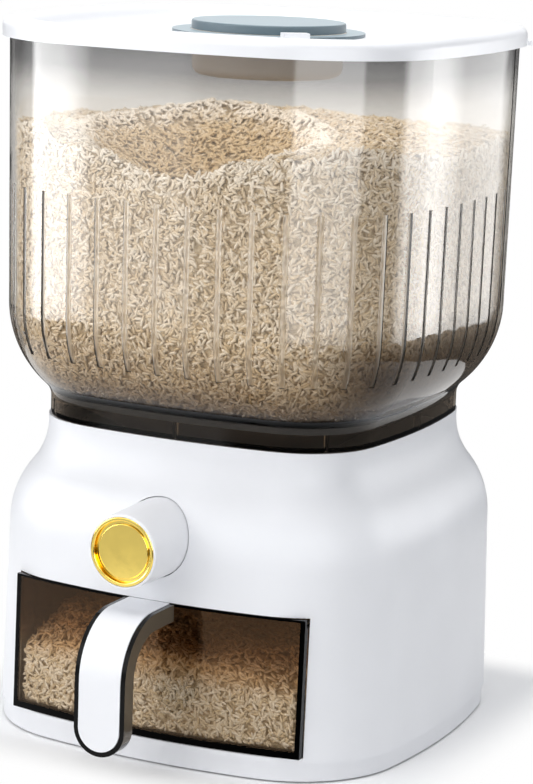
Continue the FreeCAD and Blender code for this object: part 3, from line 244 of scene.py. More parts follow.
def lamp_window(tree, shader, passed):
    """Lets a share of each lamp's light through the shader: all by clear plastic, less by a milky wall."""
    window = put(tree, "ShaderNodeBsdfTransparent", {"Color": (passed, passed, passed, 1)})
    ray = put(tree, "ShaderNodeLightPath")
    return mix_shaders(tree, ray.outputs["Is Shadow Ray"], shader, window.outputs["BSDF"])


# Spacing of the shrinkage waves in moulded walls.
WAVE_SIZE = 0.045


def uneven(tree, fine, rough):
    """Roughness of a die-textured face, which varies a little with the texture."""
    return spread(tree, fine.outputs["Fac"], rough * 0.9, rough * 1.12)


def moulded(name, dark, light, rough, grain, depth, sink=0.0, mirror=0.5, passed=0.0):
    """Moulded plastic or rubber: a fine die texture and a slightly uneven gloss.

    sink adds slow waves of shrinkage, mirror is the strength of reflections, and passed the share of the
    lamps' light that a thin wall lets through.
    """
    material, tree = new_material(name)
    fine = texture(tree, grain)
    broad = texture(tree, WAVE_SIZE, 1.0)
    skin = relief(tree, fine.outputs["Fac"], depth)
    if sink:
        skin = relief(tree, broad.outputs["Fac"], sink, normal=skin)
    links = {
        "Base Color": tones(tree, broad.outputs["Fac"], dark, light),
        "Roughness": uneven(tree, fine, rough),
        "Normal": skin,
    }
    values = {"IOR": ABS_INDEX, "Specular IOR Level": mirror}
    surface = put(tree, "ShaderNodeBsdfPrincipled", values, links).outputs["BSDF"]
    if passed:
        surface = lamp_window(tree, surface, passed)
    finish_with(tree, surface)
    return material


def polypropylene_with_painted_sheen(name, side, top):
    """Matte polypropylene with a painted sheen: the face that points up is painted paler."""
    material, tree = new_material(name)
    fine = texture(tree, 0.0010)
    upward = coordinate(tree, "Normal", "Z")
    links = {
        "Base Color": mixed(tree, ranged(tree, upward, 0.7, 0.98), side, top),
        "Roughness": spread(tree, fine.outputs["Fac"], 0.30, 0.36),
        "Normal": relief(tree, fine.outputs["Fac"], 0.00002),
    }
    shader = put(tree, "ShaderNodeBsdfPrincipled", {"IOR": POLYPROPYLENE_INDEX}, links)
    finish_with(tree, lamp_window(tree, shader.outputs["BSDF"], 0.9))
    return material


# Roughness of a polished clear face, at its clearest and at its haziest.
POLISHED = (0.015, 0.048)


def clear_plastic(name, tint, deep, density, gloss, polish=None):
    """Clear moulded wall: a tint at its faces, another along its depth, and the ripple of a moulded face.

    tint makes the face's colour, painted shade included, in the material's tree, gloss the tone of its
    reflections and polish its roughness.
    """
    material, tree = new_material(name)
    ripple = texture(tree, 0.018, 1.0)
    haze = texture(tree, 0.05).outputs["Fac"]
    links = {
        "Base Color": tint(tree),
        "Specular Tint": gloss(tree),
        "Roughness": polish(tree, haze) if polish else spread(tree, haze, *POLISHED),
        "Normal": relief(tree, ripple.outputs["Fac"], 0.00006),
    }
    values = {"Transmission Weight": 1.0, "IOR": SAN_INDEX}
    solid = put(tree, "ShaderNodeBsdfPrincipled", values, links)
    volume = put(tree, "ShaderNodeVolumeAbsorption", {"Color": linear(deep), "Density": density})
    finish_with(tree, lamp_window(tree, solid.outputs["BSDF"], 1.0), volume.outputs["Volume"])
    return material


# Smoke tint of the hopper by height: brownish at the neck with a black line in it, nearly clear round the
# rice; the deeper tone low on the shoulder and the grey towards the rim are painted shade. It is the same on
# all four walls.
HOPPER_TINT_AND_SHADE = [
    (0.160, "#D0C4B6"),
    (0.1846, "#C0B4A6"),
    (0.1852, "#000000"),
    (0.1886, "#000000"),
    (0.1894, "#A89C8D"),
    (0.205, "#DED5C8"),
    (0.232, "#F7F3EC"),
    (0.335, "#FCFAF6"),
    (0.350, "#ECEBE9"),
    (0.366, "#A3A3A4"),
    (0.384, "#949496"),
]
# Painted shade: the shoulder is much more dark on the two side walls than on front and back: from and to this
# distance off the middle, and from and to this height.
PAINTED_SHADE_SIDE = (0.080, 0.112)
PAINTED_SHADE_HEIGHT = (0.212, 0.246)
PAINTED_SHADE_TONE = "#9A9188"

# Ends of the flutes, how far the shoulder stands off its arc for each metre below the waist, and between
# which depths below the outer face a point counts as on a flute.
FLUTE_FOOT = 0.2045
FLUTE_TOP = 0.3005
SHOULDER_FULLNESS = 0.0148
FLUTE_START = (0.00012, 0.00035)
FLUTE_END = (0.0014, 0.0018)


def hopper_tint_and_shade(tree):
    """Tint by height with painted shade, and much deeper painted shade on the shoulder of the two side walls.
    """
    side = ranged(tree, absolute(tree, coordinate(tree, "Object", "X")), *PAINTED_SHADE_SIDE)
    low = ranged(tree, coordinate(tree, "Object", "Z"), *PAINTED_SHADE_HEIGHT, 1.0, 0.0)
    tint = by_height(tree, HOPPER_TINT_AND_SHADE)
    painted_shade = mix_colours(tree, tint, PAINTED_SHADE_TONE, kind="MULTIPLY")
    return mixed(tree, math_of(tree, "MULTIPLY", side, low), tint, painted_shade)


def flute_share(tree):
    """1 on the flutes' own surface: it lies between the wall's outer face and its inner one."""
    across, along = (absolute(tree, coordinate(tree, "Object", axis)) for axis in "XY")
    up = coordinate(tree, "Object", "Z")
    long = math_of(tree, "MAXIMUM", across, along)
    short = math_of(tree, "MINIMUM", across, along)

    # How far the point stands outside the rim's outline, by the side's arc or the corner's.
    past_axis = math_with(tree, long, SIDE_AXIS, "SUBTRACT")
    side_reach = distance_to(tree, past_axis, short)
    corner_reach = distance_to(
        tree,
        math_with(tree, long, CORNER_AXIS, "SUBTRACT"),
        math_with(tree, short, CORNER_AXIS, "SUBTRACT"),
    )
    turn = math_of(tree, "ARCTAN2", short, past_axis)
    past = put(
        tree,
        "ShaderNodeMix",
        links={
            0: math_with(tree, turn, SIDE_TURN, "GREATER_THAN"),
            2: math_with(tree, side_reach, -HOPPER_SIDE_RADIUS, "ADD"),
            3: math_with(tree, corner_reach, -HOPPER_CORNER_RADIUS, "ADD"),
        },
        data_type="FLOAT",
    )

    # How far the wall's outer face stands outside that outline: less by its draft and the shoulder's bend.
    on_wall = math_with(tree, up, HOPPER_WAIST_HEIGHT, "MAXIMUM")
    below_rim = math_with(tree, on_wall, -HOPPER_RIM_HEIGHT, "ADD")
    draft = math_with(tree, below_rim, HOPPER_DRAFT, "MULTIPLY")
    above_waist = math_with(tree, up, -HOPPER_WAIST_HEIGHT, "ADD")
    drop = math_with(tree, math_with(tree, above_waist, -1.0, "MULTIPLY"), 0.0, "MAXIMUM")
    square = math_with(tree, math_of(tree, "MULTIPLY", drop, drop), -1.0, "MULTIPLY")
    rest = math_with(tree, square, HOPPER_SHOULDER_RADIUS**2, "ADD")
    bend = math_with(tree, math_with(tree, rest, 0.5, "POWER"), -HOPPER_SHOULDER_RADIUS, "ADD")
    face = math_of(tree, "ADD", draft, bend)

    wider = math_with(tree, drop, SHOULDER_FULLNESS, "MULTIPLY")
    depth = math_of(tree, "SUBTRACT", math_of(tree, "SUBTRACT", face, past.outputs[0]), wider)
    started = ranged(tree, depth, *FLUTE_START)
    not_past = ranged(tree, depth, *FLUTE_END, 1.0, 0.0)
    deep = math_of(tree, "MULTIPLY", started, not_past)
    above = math_with(tree, up, FLUTE_FOOT, "GREATER_THAN")
    below = math_with(tree, up, FLUTE_TOP, "LESS_THAN")
    return math_of(tree, "MULTIPLY", deep, math_of(tree, "MULTIPLY", above, below))


# Tone of the hopper's reflections by height: full on the wall, held down on shoulder and neck so that they
# look dark.
HOPPER_GLOSS = [
    (0.150, "#B0B0B0"),
    (0.1840, "#B0B0B0"),
    (0.1846, "#202020"),
    (0.1892, "#202020"),
    (0.205, "#585858"),
    (0.232, "#C0C0C0"),
    (0.245, "#FFFFFF"),
]


def hopper_gloss(tree):
    return by_height(tree, HOPPER_GLOSS)


# Roughness of the flutes.
SATIN = 0.34


def hopper_polish(tree, haze):
    """Polished wall with satin flutes."""
    links = {"Value": flute_share(tree), "To Min": spread(tree, haze, *POLISHED)}
    return put(tree, "ShaderNodeMapRange", {"To Max": SATIN}, links).outputs["Result"]


# Curved front of the drawer: the arc of its inner face, and how wide the black line of painted shade round
# its edge is.
FRONT_AXIS = 0.2874
FRONT_INNER_RADIUS = 0.40554
FRONT_SLACK = 0.0004
SHADE_LINE_SIDE = 0.0026
SHADE_LINE_TOP = 0.0012
SHADE_LINE_BOTTOM = 0.0036

# Smoke tint of the drawer by height: brown under its rim as painted shade, clearer round the rice.
DRAWER_TINT_AND_SHADE = [
    (0.014, "#EFEBE3"),
    (0.044, "#F1ECE4"),
    (0.056, "#DCC6AC"),
    (0.068, "#A88666"),
    (0.085, "#94704E"),
]


def drawer_shade_line(tree):
    """1 along the edges of the drawer's front, where black painted shade goes."""
    low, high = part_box("drawer_tray")
    across, along, up = (coordinate(tree, "Object", axis) for axis in "XYZ")
    away = distance_to(tree, across, math_with(tree, along, FRONT_AXIS, "SUBTRACT"))
    front = math_with(tree, away, FRONT_INNER_RADIUS - FRONT_SLACK, "GREATER_THAN")
    side = math_with(tree, absolute(tree, across), high[0] - SHADE_LINE_SIDE, "GREATER_THAN")
    top = math_with(tree, up, high[2] - SHADE_LINE_TOP, "GREATER_THAN")
    bottom = math_with(tree, up, low[2] + SHADE_LINE_BOTTOM, "LESS_THAN")
    edge = math_of(tree, "MAXIMUM", math_of(tree, "MAXIMUM", side, top), bottom)
    return math_of(tree, "MULTIPLY", front, edge)


def drawer_tint_and_shade(tree):
    """Brown smoke tint with painted shade: deeper brown towards the rim, and black along the edges of the
    front.
    """
    return mixed(tree, drawer_shade_line(tree), by_height(tree, DRAWER_TINT_AND_SHADE), "#000000")


def drawer_gloss(tree):
    """Brownish reflections, and hardly any on the black line of painted shade."""
    return mixed(tree, drawer_shade_line(tree), "#D2AE8A", "#202020")


def handle_plastic(name, edge, side):
    """Thick smoky strap: brownish grey on its flat sides, black painted shade round its edges."""
    material, tree = new_material(name)
    flat = math_with(tree, absolute(tree, coordinate(tree, "Normal", "X")), 0.9, "GREATER_THAN")
    haze = texture(tree, 0.02)
    links = {
        "Base Color": mixed(tree, flat, edge, side),
        "Roughness": spread(tree, haze.outputs["Fac"], 0.08, 0.18),
    }
    values = {"IOR": SAN_INDEX, "Transmission Weight": 0.15, "Specular Tint": linear("#808080")}
    shader = put(tree, "ShaderNodeBsdfPrincipled", values, links)
    finish_with(tree, shader.outputs["BSDF"])
    return material


# Funnel by height: brown cone, black flange.
FUNNEL_TONES = [(0.120, "#6E645A"), (0.1825, "#6E645A"), (0.1830, "#0B0B0A"), (0.210, "#0B0B0A")]


def two_tone(name, stops, rough):
    """Opaque plastic whose colour changes with height, with a fine die texture."""
    material, tree = new_material(name)
    fine = texture(tree, 0.0012)
    links = {
        "Base Color": by_height(tree, stops),
        "Roughness": uneven(tree, fine, rough),
        "Normal": relief(tree, fine.outputs["Fac"], 0.00003),
    }
    shader = put(tree, "ShaderNodeBsdfPrincipled", {"IOR": ABS_INDEX}, links)
    finish_with(tree, shader.outputs["BSDF"])
    return material


def plated(name, code, rough, grain):
    """Bright metal: a mirror, or a satin one, with a trace of ripple."""
    material, tree = new_material(name)
    fine = texture(tree, grain)
    links = {
        "Roughness": spread(tree, fine.outputs["Fac"], rough * 0.7, rough * 1.3),
        "Normal": relief(tree, fine.outputs["Fac"], 0.00002),
    }
    values = {"Base Color": linear(code), "Metallic": 1.0}
    shader = put(tree, "ShaderNodeBsdfPrincipled", values, links)
    finish_with(tree, shader.outputs["BSDF"])
    return material


def polished_rice(name, dark, light):
    """Milled rice: smooth grains, each with its own tone, and a gloss that is duller in chalky spots."""
    material, tree = new_material(name)
    tone = put(tree, "ShaderNodeAttribute", attribute_name="tone", attribute_type="GEOMETRY")
    chalk = texture(tree, 0.0016)
    links = {
        "Base Color": ramp_through(tree, tone.outputs["Fac"], [(0, linear(dark)), (1, linear(light))]),
        "Roughness": spread(tree, chalk.outputs["Fac"], 0.25, 0.45),
    }
    shader = put(tree, "ShaderNodeBsdfPrincipled", {"IOR": ABS_INDEX}, links)
    finish_with(tree, shader.outputs["BSDF"])
    return material


def shaded_rice(name, dark, light):
    """Rice deep between the grains: specks about as wide as a grain, from brown shade to cream."""
    material, tree = new_material(name)
    specks = texture(tree, 0.0019)
    links = {
        "Base Color": tones(tree, specks.outputs["Fac"], dark, light),
        "Normal": relief(tree, specks.outputs["Fac"], 0.0008),
    }
    shader = put(tree, "ShaderNodeBsdfPrincipled", {"IOR": ABS_INDEX, "Roughness": 0.6}, links)
    finish_with(tree, shader.outputs["BSDF"])
    return material


# Finishes -------------------------------------------------------------------------------------------

# Injection-moulded white ABS, satin: a soft sheen with a barely visible die texture.
WHITE_ABS = moulded(
    "white_abs_moulded", "#F1F2F5", "#F5F6F9", 0.38, 0.0012, 0.000012, 0.00012, mirror=0.25
)
# Dark ABS of the funnel, satin: a black flange over a brown cone, seen as two bands through the neck.
BLACK_ABS = two_tone("dark_abs_satin", FUNNEL_TONES, 0.45)
# Grey ABS inside the base, left with its plain tool finish.
GREY_ABS = moulded("grey_abs_tool_finish", "#7E8184", "#878A8D", 0.5, 0.0012, 0.00003)
# Blue-grey polypropylene with a spark-eroded die: matte, with a painted sheen on its paler top face.
CAP_PP = polypropylene_with_painted_sheen("blue_grey_polypropylene", "#64757D", "#A9BAC2")
# White acetal of the metering slide: dense, slightly waxy.
WHITE_ACETAL = moulded("white_acetal_milled", "#E3E3DE", "#EAEAE5", 0.4, 0.002, 0.00002)
# Black thermoplastic rubber of the hidden gasket: dull, with mould bloom.
BLACK_RUBBER = moulded("black_thermoplastic_rubber", "#121212", "#1D1D1D", 0.7, 0.0008, 0.00004)
# Dark grey rubber feet with a coarse moulded grip.
FOOT_RUBBER = moulded("grey_foot_rubber", "#34353A", "#3F4045", 0.75, 0.0008, 0.00008)
# Translucent silicone seals: milky and soft.
SILICONE = moulded("milky_silicone", "#D5D7D8", "#E0E2E3", 0.5, 0.002, 0.00003)
# Smoke-tinted SAN, polished tool: clear face on, dark where the eye looks along the wall; its tint holds
# painted shade on the shoulder and towards the rim.
SMOKY_SAN = clear_plastic("smoky_san_polished", hopper_tint_and_shade, "#B4ADA5", 70.0, hopper_gloss, hopper_polish)
# The same SAN in the drawer, browner, with painted shade: deep brown under its rim and black round the
# edges of its front.
DRAWER_SAN = clear_plastic("smoky_san_drawer", drawer_tint_and_shade, "#AC9C88", 60.0, drawer_gloss)
# The handle's thick SAN: black painted shade on its edges round a brownish grey side.
HANDLE_SAN = handle_plastic("smoky_san_handle", "#050505", "#6A6052")
# White ABS of the lid, which lets most of the lamps' light through and hardly shades the rice below.
LID_ABS = moulded("white_abs_lid", "#F1F2F5", "#F5F6F9", 0.34, 0.0012, 0.000012, 0.00012, passed=0.95)
# Frosted polypropylene of the moisture cup: milky and warm.
CUP_PP = moulded("frosted_polypropylene", "#F3E9DC", "#FAF2E8", 0.5, 0.002, 0.00003, passed=0.9)
# Gold electroplating on polished ABS: a bright yellow mirror.
GOLD = plated("gold_plated_abs", "#FFE27A", 0.12, 0.006)
# Drawn stainless spring wire: a satin grey mirror.
SPRING_STEEL = plated("drawn_stainless_wire", "#B9BBBE", 0.3, 0.001)
# Milled long-grain rice: cream grains in many close tones.
RICE = polished_rice("milled_long_grain_rice", "#DAC4A0", "#FDF5E9")
# Rice in the shade under the top layer: what shows between the grains.
RICE_BED = shaded_rice("milled_rice_in_shade", "#A18B6A", "#DDCDB2")

NODE_FINISHES = {
    "white_abs": WHITE_ABS,
    "smoky_clear": SMOKY_SAN,
    "dark_abs": BLACK_ABS,
    "grey_abs": GREY_ABS,
    "cap_grey": CAP_PP,
    "cup_clear": CUP_PP,
    "gold_plate": GOLD,
    "slide_pom": WHITE_ACETAL,
    "seal_rubber": BLACK_RUBBER,
    "seal_clear": SILICONE,
    "foot_rubber": FOOT_RUBBER,
    "spring_steel": SPRING_STEEL,
}

# Nodes that have a finish of their own.
OWN_FINISHES = {"drawer_tray": DRAWER_SAN, "drawer_handle": HANDLE_SAN, "lid_shell": LID_ABS}

for part in frame["record"]["subparts"]:
    mesh = frame["nodes"][part["node"]].data
    mesh.materials.clear()
    mesh.materials.append(OWN_FINISHES.get(part["node"], NODE_FINISHES[part["material_slot"]]))

# Hopper's plan --------------------------------------------------------------------------------------


def wall_point(run, inset):
    """Points of the hopper's plan and their outward normals, at lengths along the rim's outline."""
    quarter = np.floor((run + SIDE_RUN / 2) / QUARTER_RUN)
    rest = run - quarter * QUARTER_RUN
    on_side = rest < SIDE_RUN / 2
    turn = np.where(
        on_side,
        rest / HOPPER_SIDE_RADIUS,
        SIDE_TURN + (rest - SIDE_RUN / 2) / HOPPER_CORNER_RADIUS,
    )
    across = np.where(on_side, SIDE_AXIS, CORNER_AXIS)
    along = np.where(on_side, 0.0, CORNER_AXIS)
    radius = np.where(on_side, HOPPER_SIDE_RADIUS, HOPPER_CORNER_RADIUS) - inset
    x = across + radius * np.cos(turn)
    y = along + radius * np.sin(turn)
    back = quarter * math.pi / 2
    cosine, sine = np.cos(back), np.sin(back)
    normal_x, normal_y = np.cos(turn + back), np.sin(turn + back)
    return x * cosine - y * sine, x * sine + y * cosine, normal_x, normal_y


def inner_inset(height):
    """How far the hopper's inner face lies inside its rim's outline."""
    on_wall = (HOPPER_RIM_HEIGHT - height) * HOPPER_DRAFT + HOPPER_WALL
    radius = HOPPER_SHOULDER_RADIUS - HOPPER_WALL
    lift = np.clip(HOPPER_WAIST_HEIGHT - height, 0, radius * 0.76)
    axis = HOPPER_WAIST_HALF_WIDTH - HOPPER_SHOULDER_RADIUS
    on_bend = HOPPER_HALF_WIDTH - axis - np.sqrt(radius**2 - lift**2)
    return np.where(height > HOPPER_WAIST_HEIGHT, on_wall, on_bend)


# Rice -----------------------------------------------------------------------------------------------

# Level of the rice at points of the hopper, in millimetres: across, along, up.
RICE_LEVELS = np.array(
    [
        (-87, -118, 334),
        (-46, -121, 322),
        (0, -121, 317.5),
        (25, -121, 316.5),
        (45, -121, 320),
        (72, -121, 326),
        (103, -103, 333),
        (118, -60, 327),
        (121, -30, 323),
        (121, 0, 325),
        (121, 46, 328),
        (100, 100, 325),
        (44, 118, 324),
        (-10, 118, 323),
        (-60, 118, 324),
        (-105, 100, 324),
        (-121, 40, 325),
        (-121, -30, 329),
        (-50, 48, 334),
        (-5, 55, 333),
        (50, 48, 331),
    ]
)

# Crater in the heap, in millimetres: middle, half sizes, direction of its length and floor, and the raised
# rim round it, whose width is a share of the crater's size.
CRATER_MIDDLE = (-16, -44)
CRATER_HALF = (64, 92)
CRATER_TURN = math.radians(26)
CRATER_FLOOR = 290
CREST_RISE = 1.6
CREST_WIDTH = 0.09


def in_crater(x, y):
    """0 in the crater's middle, 1 on its crest."""
    x, y = x / MM - CRATER_MIDDLE[0], y / MM - CRATER_MIDDLE[1]
    wide = x * math.cos(CRATER_TURN) + y * math.sin(CRATER_TURN)
    long = y * math.cos(CRATER_TURN) - x * math.sin(CRATER_TURN)
    return np.hypot(wide / CRATER_HALF[0], long / CRATER_HALF[1])


def rice_level(x, y):
    """Height of the rice in the hopper: between the given levels, with the crater, its crest and lumps."""
    away = np.hypot(x[:, None] / MM - RICE_LEVELS[:, 0], y[:, None] / MM - RICE_LEVELS[:, 1])
    weight = 1 / (away + 6) ** 3
    level = (weight * RICE_LEVELS[:, 2]).sum(1) / weight.sum(1)
    out = in_crater(x, y)
    crest = CREST_RISE * np.exp(-(((out - 1) / CREST_WIDTH) ** 2))
    level = level - (level - CRATER_FLOOR) * np.maximum(1 - out**1.15, 0) + crest
    ridges = 1.6 * np.sin(x / MM * 0.11 + 1) * np.cos(y / MM * 0.09) * np.clip(1.2 - out, 0, 1)
    broad_lumps = 0.9 * np.sin(x / MM * 0.21 + 0.4) * np.sin(y / MM * 0.17 + 1.1)
    return (level + ridges + (broad_lumps + 0.6 * np.sin((x + y) / MM * 0.37))) * MM


def drawer_level(x, y):
    """Height of the rice in the drawer: a flat heap that falls off towards the walls."""
    away = np.hypot(x / MM, (y / MM + 5) * 0.9)
    heap = 67 - 0.05 * away - 0.55 * np.maximum(away - 98, 0)
    broad_lumps = 1.2 * np.sin(x / MM * 0.13 + 0.8) * np.sin(y / MM * 0.11 + 0.3)
    return (heap + (broad_lumps + 0.6 * np.sin((x - y) / MM * 0.31))) * MM


def grain_shape():
    """One grain as points and faces: a sphere drawn long, with blunt ends."""
    bpy.ops.object.select_all(action="DESELECT")
    bpy.ops.mesh.primitive_uv_sphere_add(segments=5, ring_count=3, radius=0.5)
    grain = bpy.context.active_object
    bpy.ops.object.mode_set(mode="EDIT")
    bpy.ops.transform.resize(value=(GRAIN_WIDTH, GRAIN_THICKNESS, GRAIN_LENGTH), center_override=(0, 0, 0))
    bpy.ops.object.mode_set(mode="OBJECT")
    points = np.array([v.co[:] for v in grain.data.vertices])
    # The sphere's five sides make it slimmer than its size.
    points[:, :2] *= 1.12
    faces = [tuple(p.vertices) for p in grain.data.polygons]
    mesh = grain.data
    bpy.data.objects.remove(grain)
    bpy.data.meshes.remove(mesh)
    return points, faces


GRAIN_POINTS, GRAIN_FACES = grain_shape()


def pour(name, places, normals, random, tilt, body, pale=0.1):
    """A layer of grains that lie on a surface, each turned and tilted its own way, as one piece.

    pale shifts each grain's tone towards the lighter one; in the hopper it carries painted light and shade.
    """
    count = len(places)
    side = np.cross(normals, random.normal(size=(count, 3)))
    long = side / np.linalg.norm(side, axis=1)[:, None]
    long = long + normals * random.normal(0, tilt, (count, 1))
    long /= np.linalg.norm(long, axis=1)[:, None]
    wide = np.cross(normals, long)
    wide /= np.linalg.norm(wide, axis=1)[:, None]
    thick = np.cross(long, wide)
    sizes = random.uniform(*GRAIN_SIZES, (count, 1, 1))
    axes = np.stack([wide, thick, long], axis=1)
    points = places[:, None, :] + np.einsum("pk,nkj->npj", GRAIN_POINTS, axes) * sizes
    step = len(GRAIN_POINTS)
    faces = [tuple(v + i * step for v in face) for i in range(count) for face in GRAIN_FACES]
    mesh = bpy.data.meshes.new(name)
    mesh.from_pydata(points.reshape(-1, 3).tolist(), [], faces)
    mesh.polygons.foreach_set("use_smooth", np.ones(len(faces), bool))
    tone = mesh.attributes.new("tone", "FLOAT", "POINT")
    own = np.clip(random.uniform(0, 0.8, count) + pale, 0, 1)
    tone.data.foreach_set("value", np.repeat(own, step).astype(np.float32))
    mesh.materials.append(RICE)
    piece = bpy.data.objects.new(name, mesh)
    bpy.context.scene.collection.objects.link(piece)
    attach(piece, body)


def surface_normals(level, x, y):
    """Normals of a heap's surface, from its heights a small step away."""
    step = 0.0005
    slope_x = (level(x + step, y) - level(x - step, y)) / (2 * step)
    slope_y = (level(x, y + step) - level(x, y - step)) / (2 * step)
    normals = np.stack([-slope_x, -slope_y, np.ones_like(x)], axis=1)
    return normals / np.linalg.norm(normals, axis=1)[:, None]


# The heap's top is laid out inside the hopper's inner face at this height.
TOP_OUTLINE_HEIGHT = 0.325
# Grains and core keep this far from the walls.
GRAIN_CLEARANCE = 0.0032
CORE_CLEARANCE = 0.003
# How far the cores' tops lie below the heaps' surfaces.
HOPPER_CORE_DEPTH = 0.0022
DRAWER_CORE_DEPTH = 0.002
# Grains at the walls: how far above the rice's foot they begin, up to which height they are laid before those
# above the heap are dropped, how deep they lie, and how far below the heap's edge they stay paler as painted
# light.
FIRST_GRAINS = 0.002
HOPPER_WALL_TOP = 0.338
HOPPER_WALL_DEPTH = (0.0016, 0.0034)
PAINTED_LIGHT_EDGE = 0.005
# How far single grains lie below and above the heap's surface.
TOP_SCATTER = (-0.0012, 0.0008)
# How much a grain tilts out of the surface on top of a heap, and along a wall.
TOP_TILT = 0.30
WALL_TILT = 0.12


def top_of_hopper_rice(random, count):
    """Grains over the heap, spread evenly inside the hopper's wall."""
    run = random.uniform(0, 4 * QUARTER_RUN, count)
    share = np.sqrt(random.uniform(0, 1, count))
    x, y, _, _ = wall_point(run, inner_inset(np.full(count, TOP_OUTLINE_HEIGHT)) + GRAIN_CLEARANCE)
    x, y = x * share, y * share
    places = np.stack([x, y, rice_level(x, y) + random.uniform(*TOP_SCATTER, count)], axis=1)
    return places, surface_normals(rice_level, x, y)


def wall_of_hopper_rice(random, count):
    """Grains that lie against the hopper's wall, up to the heap's edge."""
    run = random.uniform(0, 4 * QUARTER_RUN, count)
    height = random.uniform(RICE_BOTTOM + FIRST_GRAINS, HOPPER_WALL_TOP, count)
    depth = random.uniform(*HOPPER_WALL_DEPTH, count)
    x, y, normal_x, normal_y = wall_point(run, inner_inset(height) + depth)
    below = height < rice_level(x, y) - 0.0005
    lean = np.clip((HOPPER_WAIST_HEIGHT - height) / HOPPER_SHOULDER_RADIUS, 0, 0.8)
    level = np.sqrt(1 - lean**2)
    normals = np.stack([normal_x * level, normal_y * level, -lean], axis=1)
    # Painted light: grains near the top of the heap are paler.
    pale = 0.1 + 0.7 * np.exp(-np.maximum(rice_level(x, y) - height, 0) / PAINTED_LIGHT_EDGE)
    return np.stack([x, y, height], axis=1)[below], normals[below], pale[below]


def heap(name, rings, body):
    """Core under the loose grains: a closed sphere whose rings are moved onto rings of points."""
    bpy.ops.object.select_all(action="DESELECT")
    count = len(rings[0])
    bpy.ops.mesh.primitive_uv_sphere_add(segments=count, ring_count=len(rings) + 1, radius=1)
    core = bpy.context.active_object
    core.name = name
    rows = {}
    for vertex in core.data.vertices:
        rows.setdefault(round(vertex.co.z, 4), []).append(vertex)
    heights = sorted(rows)
    for height, ring in zip(heights[1:-1], rings):
        around = sorted(rows[height], key=lambda v: math.atan2(v.co.y, v.co.x) % (2 * math.pi - 1e-4))
        for vertex, place in zip(around, ring):
            vertex.co = place
    rows[heights[0]][0].co = Vector(np.mean(rings[0], axis=0))
    rows[heights[-1]][0].co = Vector(np.mean(rings[-1], axis=0))
    bpy.ops.object.shade_smooth()
    core.data.materials.append(RICE_BED)
    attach(core, body)


def hopper_core():
    """The heap in the hopper: wall and top as rings."""
    count = 144
    run = np.linspace(0, 4 * QUARTER_RUN, count, endpoint=False)
    rings = []
    for height in np.linspace(RICE_BOTTOM, 0.30, 16):
        x, y, _, _ = wall_point(run, inner_inset(np.full(count, height)) + CORE_CLEARANCE)
        rings.append(np.stack([x, y, np.full(count, height)], axis=1))
    for share in np.linspace(1.0, 0.03, 26):
        x, y, _, _ = wall_point(run, inner_inset(np.full(count, TOP_OUTLINE_HEIGHT)) + CORE_CLEARANCE)
        x, y = x * share, y * share
        rings.append(np.stack([x, y, rice_level(x, y) - HOPPER_CORE_DEPTH], axis=1))
    heap("hopper_rice_core", rings, "base")


TOP_GRAINS = 14000
WALL_GRAINS = 39000
DRAWER_GRAINS = 9500

random = np.random.RandomState(7)
hopper_core()
top_places, top_normals = top_of_hopper_rice(random, TOP_GRAINS)
# Painted shade and painted light: dark-toned grains in the crater, paler ones round it, the palest on its
# crest.
crater_share = in_crater(top_places[:, 0], top_places[:, 1])
outside = 0.45 * np.clip((crater_share - 0.75) / 0.2, 0, 1)
top_painted_light_and_shade = -0.5 + outside + 0.9 * np.exp(-(((crater_share - 1) / 0.10) ** 2))
pour("hopper_rice_top", top_places, top_normals, random, TOP_TILT, "base", top_painted_light_and_shade)
wall_places, wall_normals, wall_painted_light = wall_of_hopper_rice(random, WALL_GRAINS)
for part in range(4):
    own = slice(part, None, 4)
    name = f"hopper_rice_wall_{part + 1}"
    pour(name, wall_places[own], wall_normals[own], random, WALL_TILT, "base", wall_painted_light[own])

# Rice in the drawer: the tray's inner room, and where the layers of its rice end.
DRAWER_LOW = Vector((-0.0839, -0.1094, 0.0168))
DRAWER_HIGH = Vector((0.0839, 0.0896, 0.0845))
DRAWER_SIDE_FRONT = -0.1040
DRAWER_SIDE_INSET = 0.0034
DRAWER_WALL_TOP = 0.066
DRAWER_WALL_DEPTH = (0.0014, 0.003)


def front_of_drawer(x):
    """Inner face of the drawer's curved front."""
    return FRONT_AXIS - np.sqrt(FRONT_INNER_RADIUS**2 - x**2)


def drawer_core():
    """The heap in the drawer: wall and top as rings."""
    count = 96
    turn = np.linspace(0, 2 * math.pi, count, endpoint=False)
    reach = np.maximum(np.abs(np.cos(turn)), np.abs(np.sin(turn)))
    x = np.cos(turn) / reach * (DRAWER_HIGH.x - CORE_CLEARANCE)
    y = np.sin(turn) / reach
    rings = []

    def ring(share, height=None):
        """A ring at this height, or on the heap's surface, as a share of the drawer's inner outline."""
        low = front_of_drawer(x * share) + CORE_CLEARANCE
        high = DRAWER_HIGH.y - CORE_CLEARANCE
        along = (high + low) / 2 + y * ((high - low) / 2) * share
        up = height if height is not None else drawer_level(x * share, along) - DRAWER_CORE_DEPTH
        rings.append(np.stack([x * share, along, np.broadcast_to(up, x.shape)], axis=1))

    for height in np.linspace(DRAWER_LOW.z + 0.0006, 0.040, 6):
        ring(1.0, height)
    for share in np.linspace(1.0, 0.03, 20):
        ring(share)
    heap("drawer_rice_core", rings, "drawer")


drawer_core()
count = DRAWER_GRAINS
x = random.uniform(DRAWER_LOW.x + GRAIN_CLEARANCE, DRAWER_HIGH.x - GRAIN_CLEARANCE, count)
front = front_of_drawer(x) + GRAIN_CLEARANCE
y = front + (DRAWER_HIGH.y - GRAIN_CLEARANCE - front) * random.uniform(0, 1, count)
places = np.stack([x, y, drawer_level(x, y) + random.uniform(*TOP_SCATTER, count)], axis=1)
pour("drawer_rice_top", places, surface_normals(drawer_level, x, y), random, TOP_TILT, "drawer")

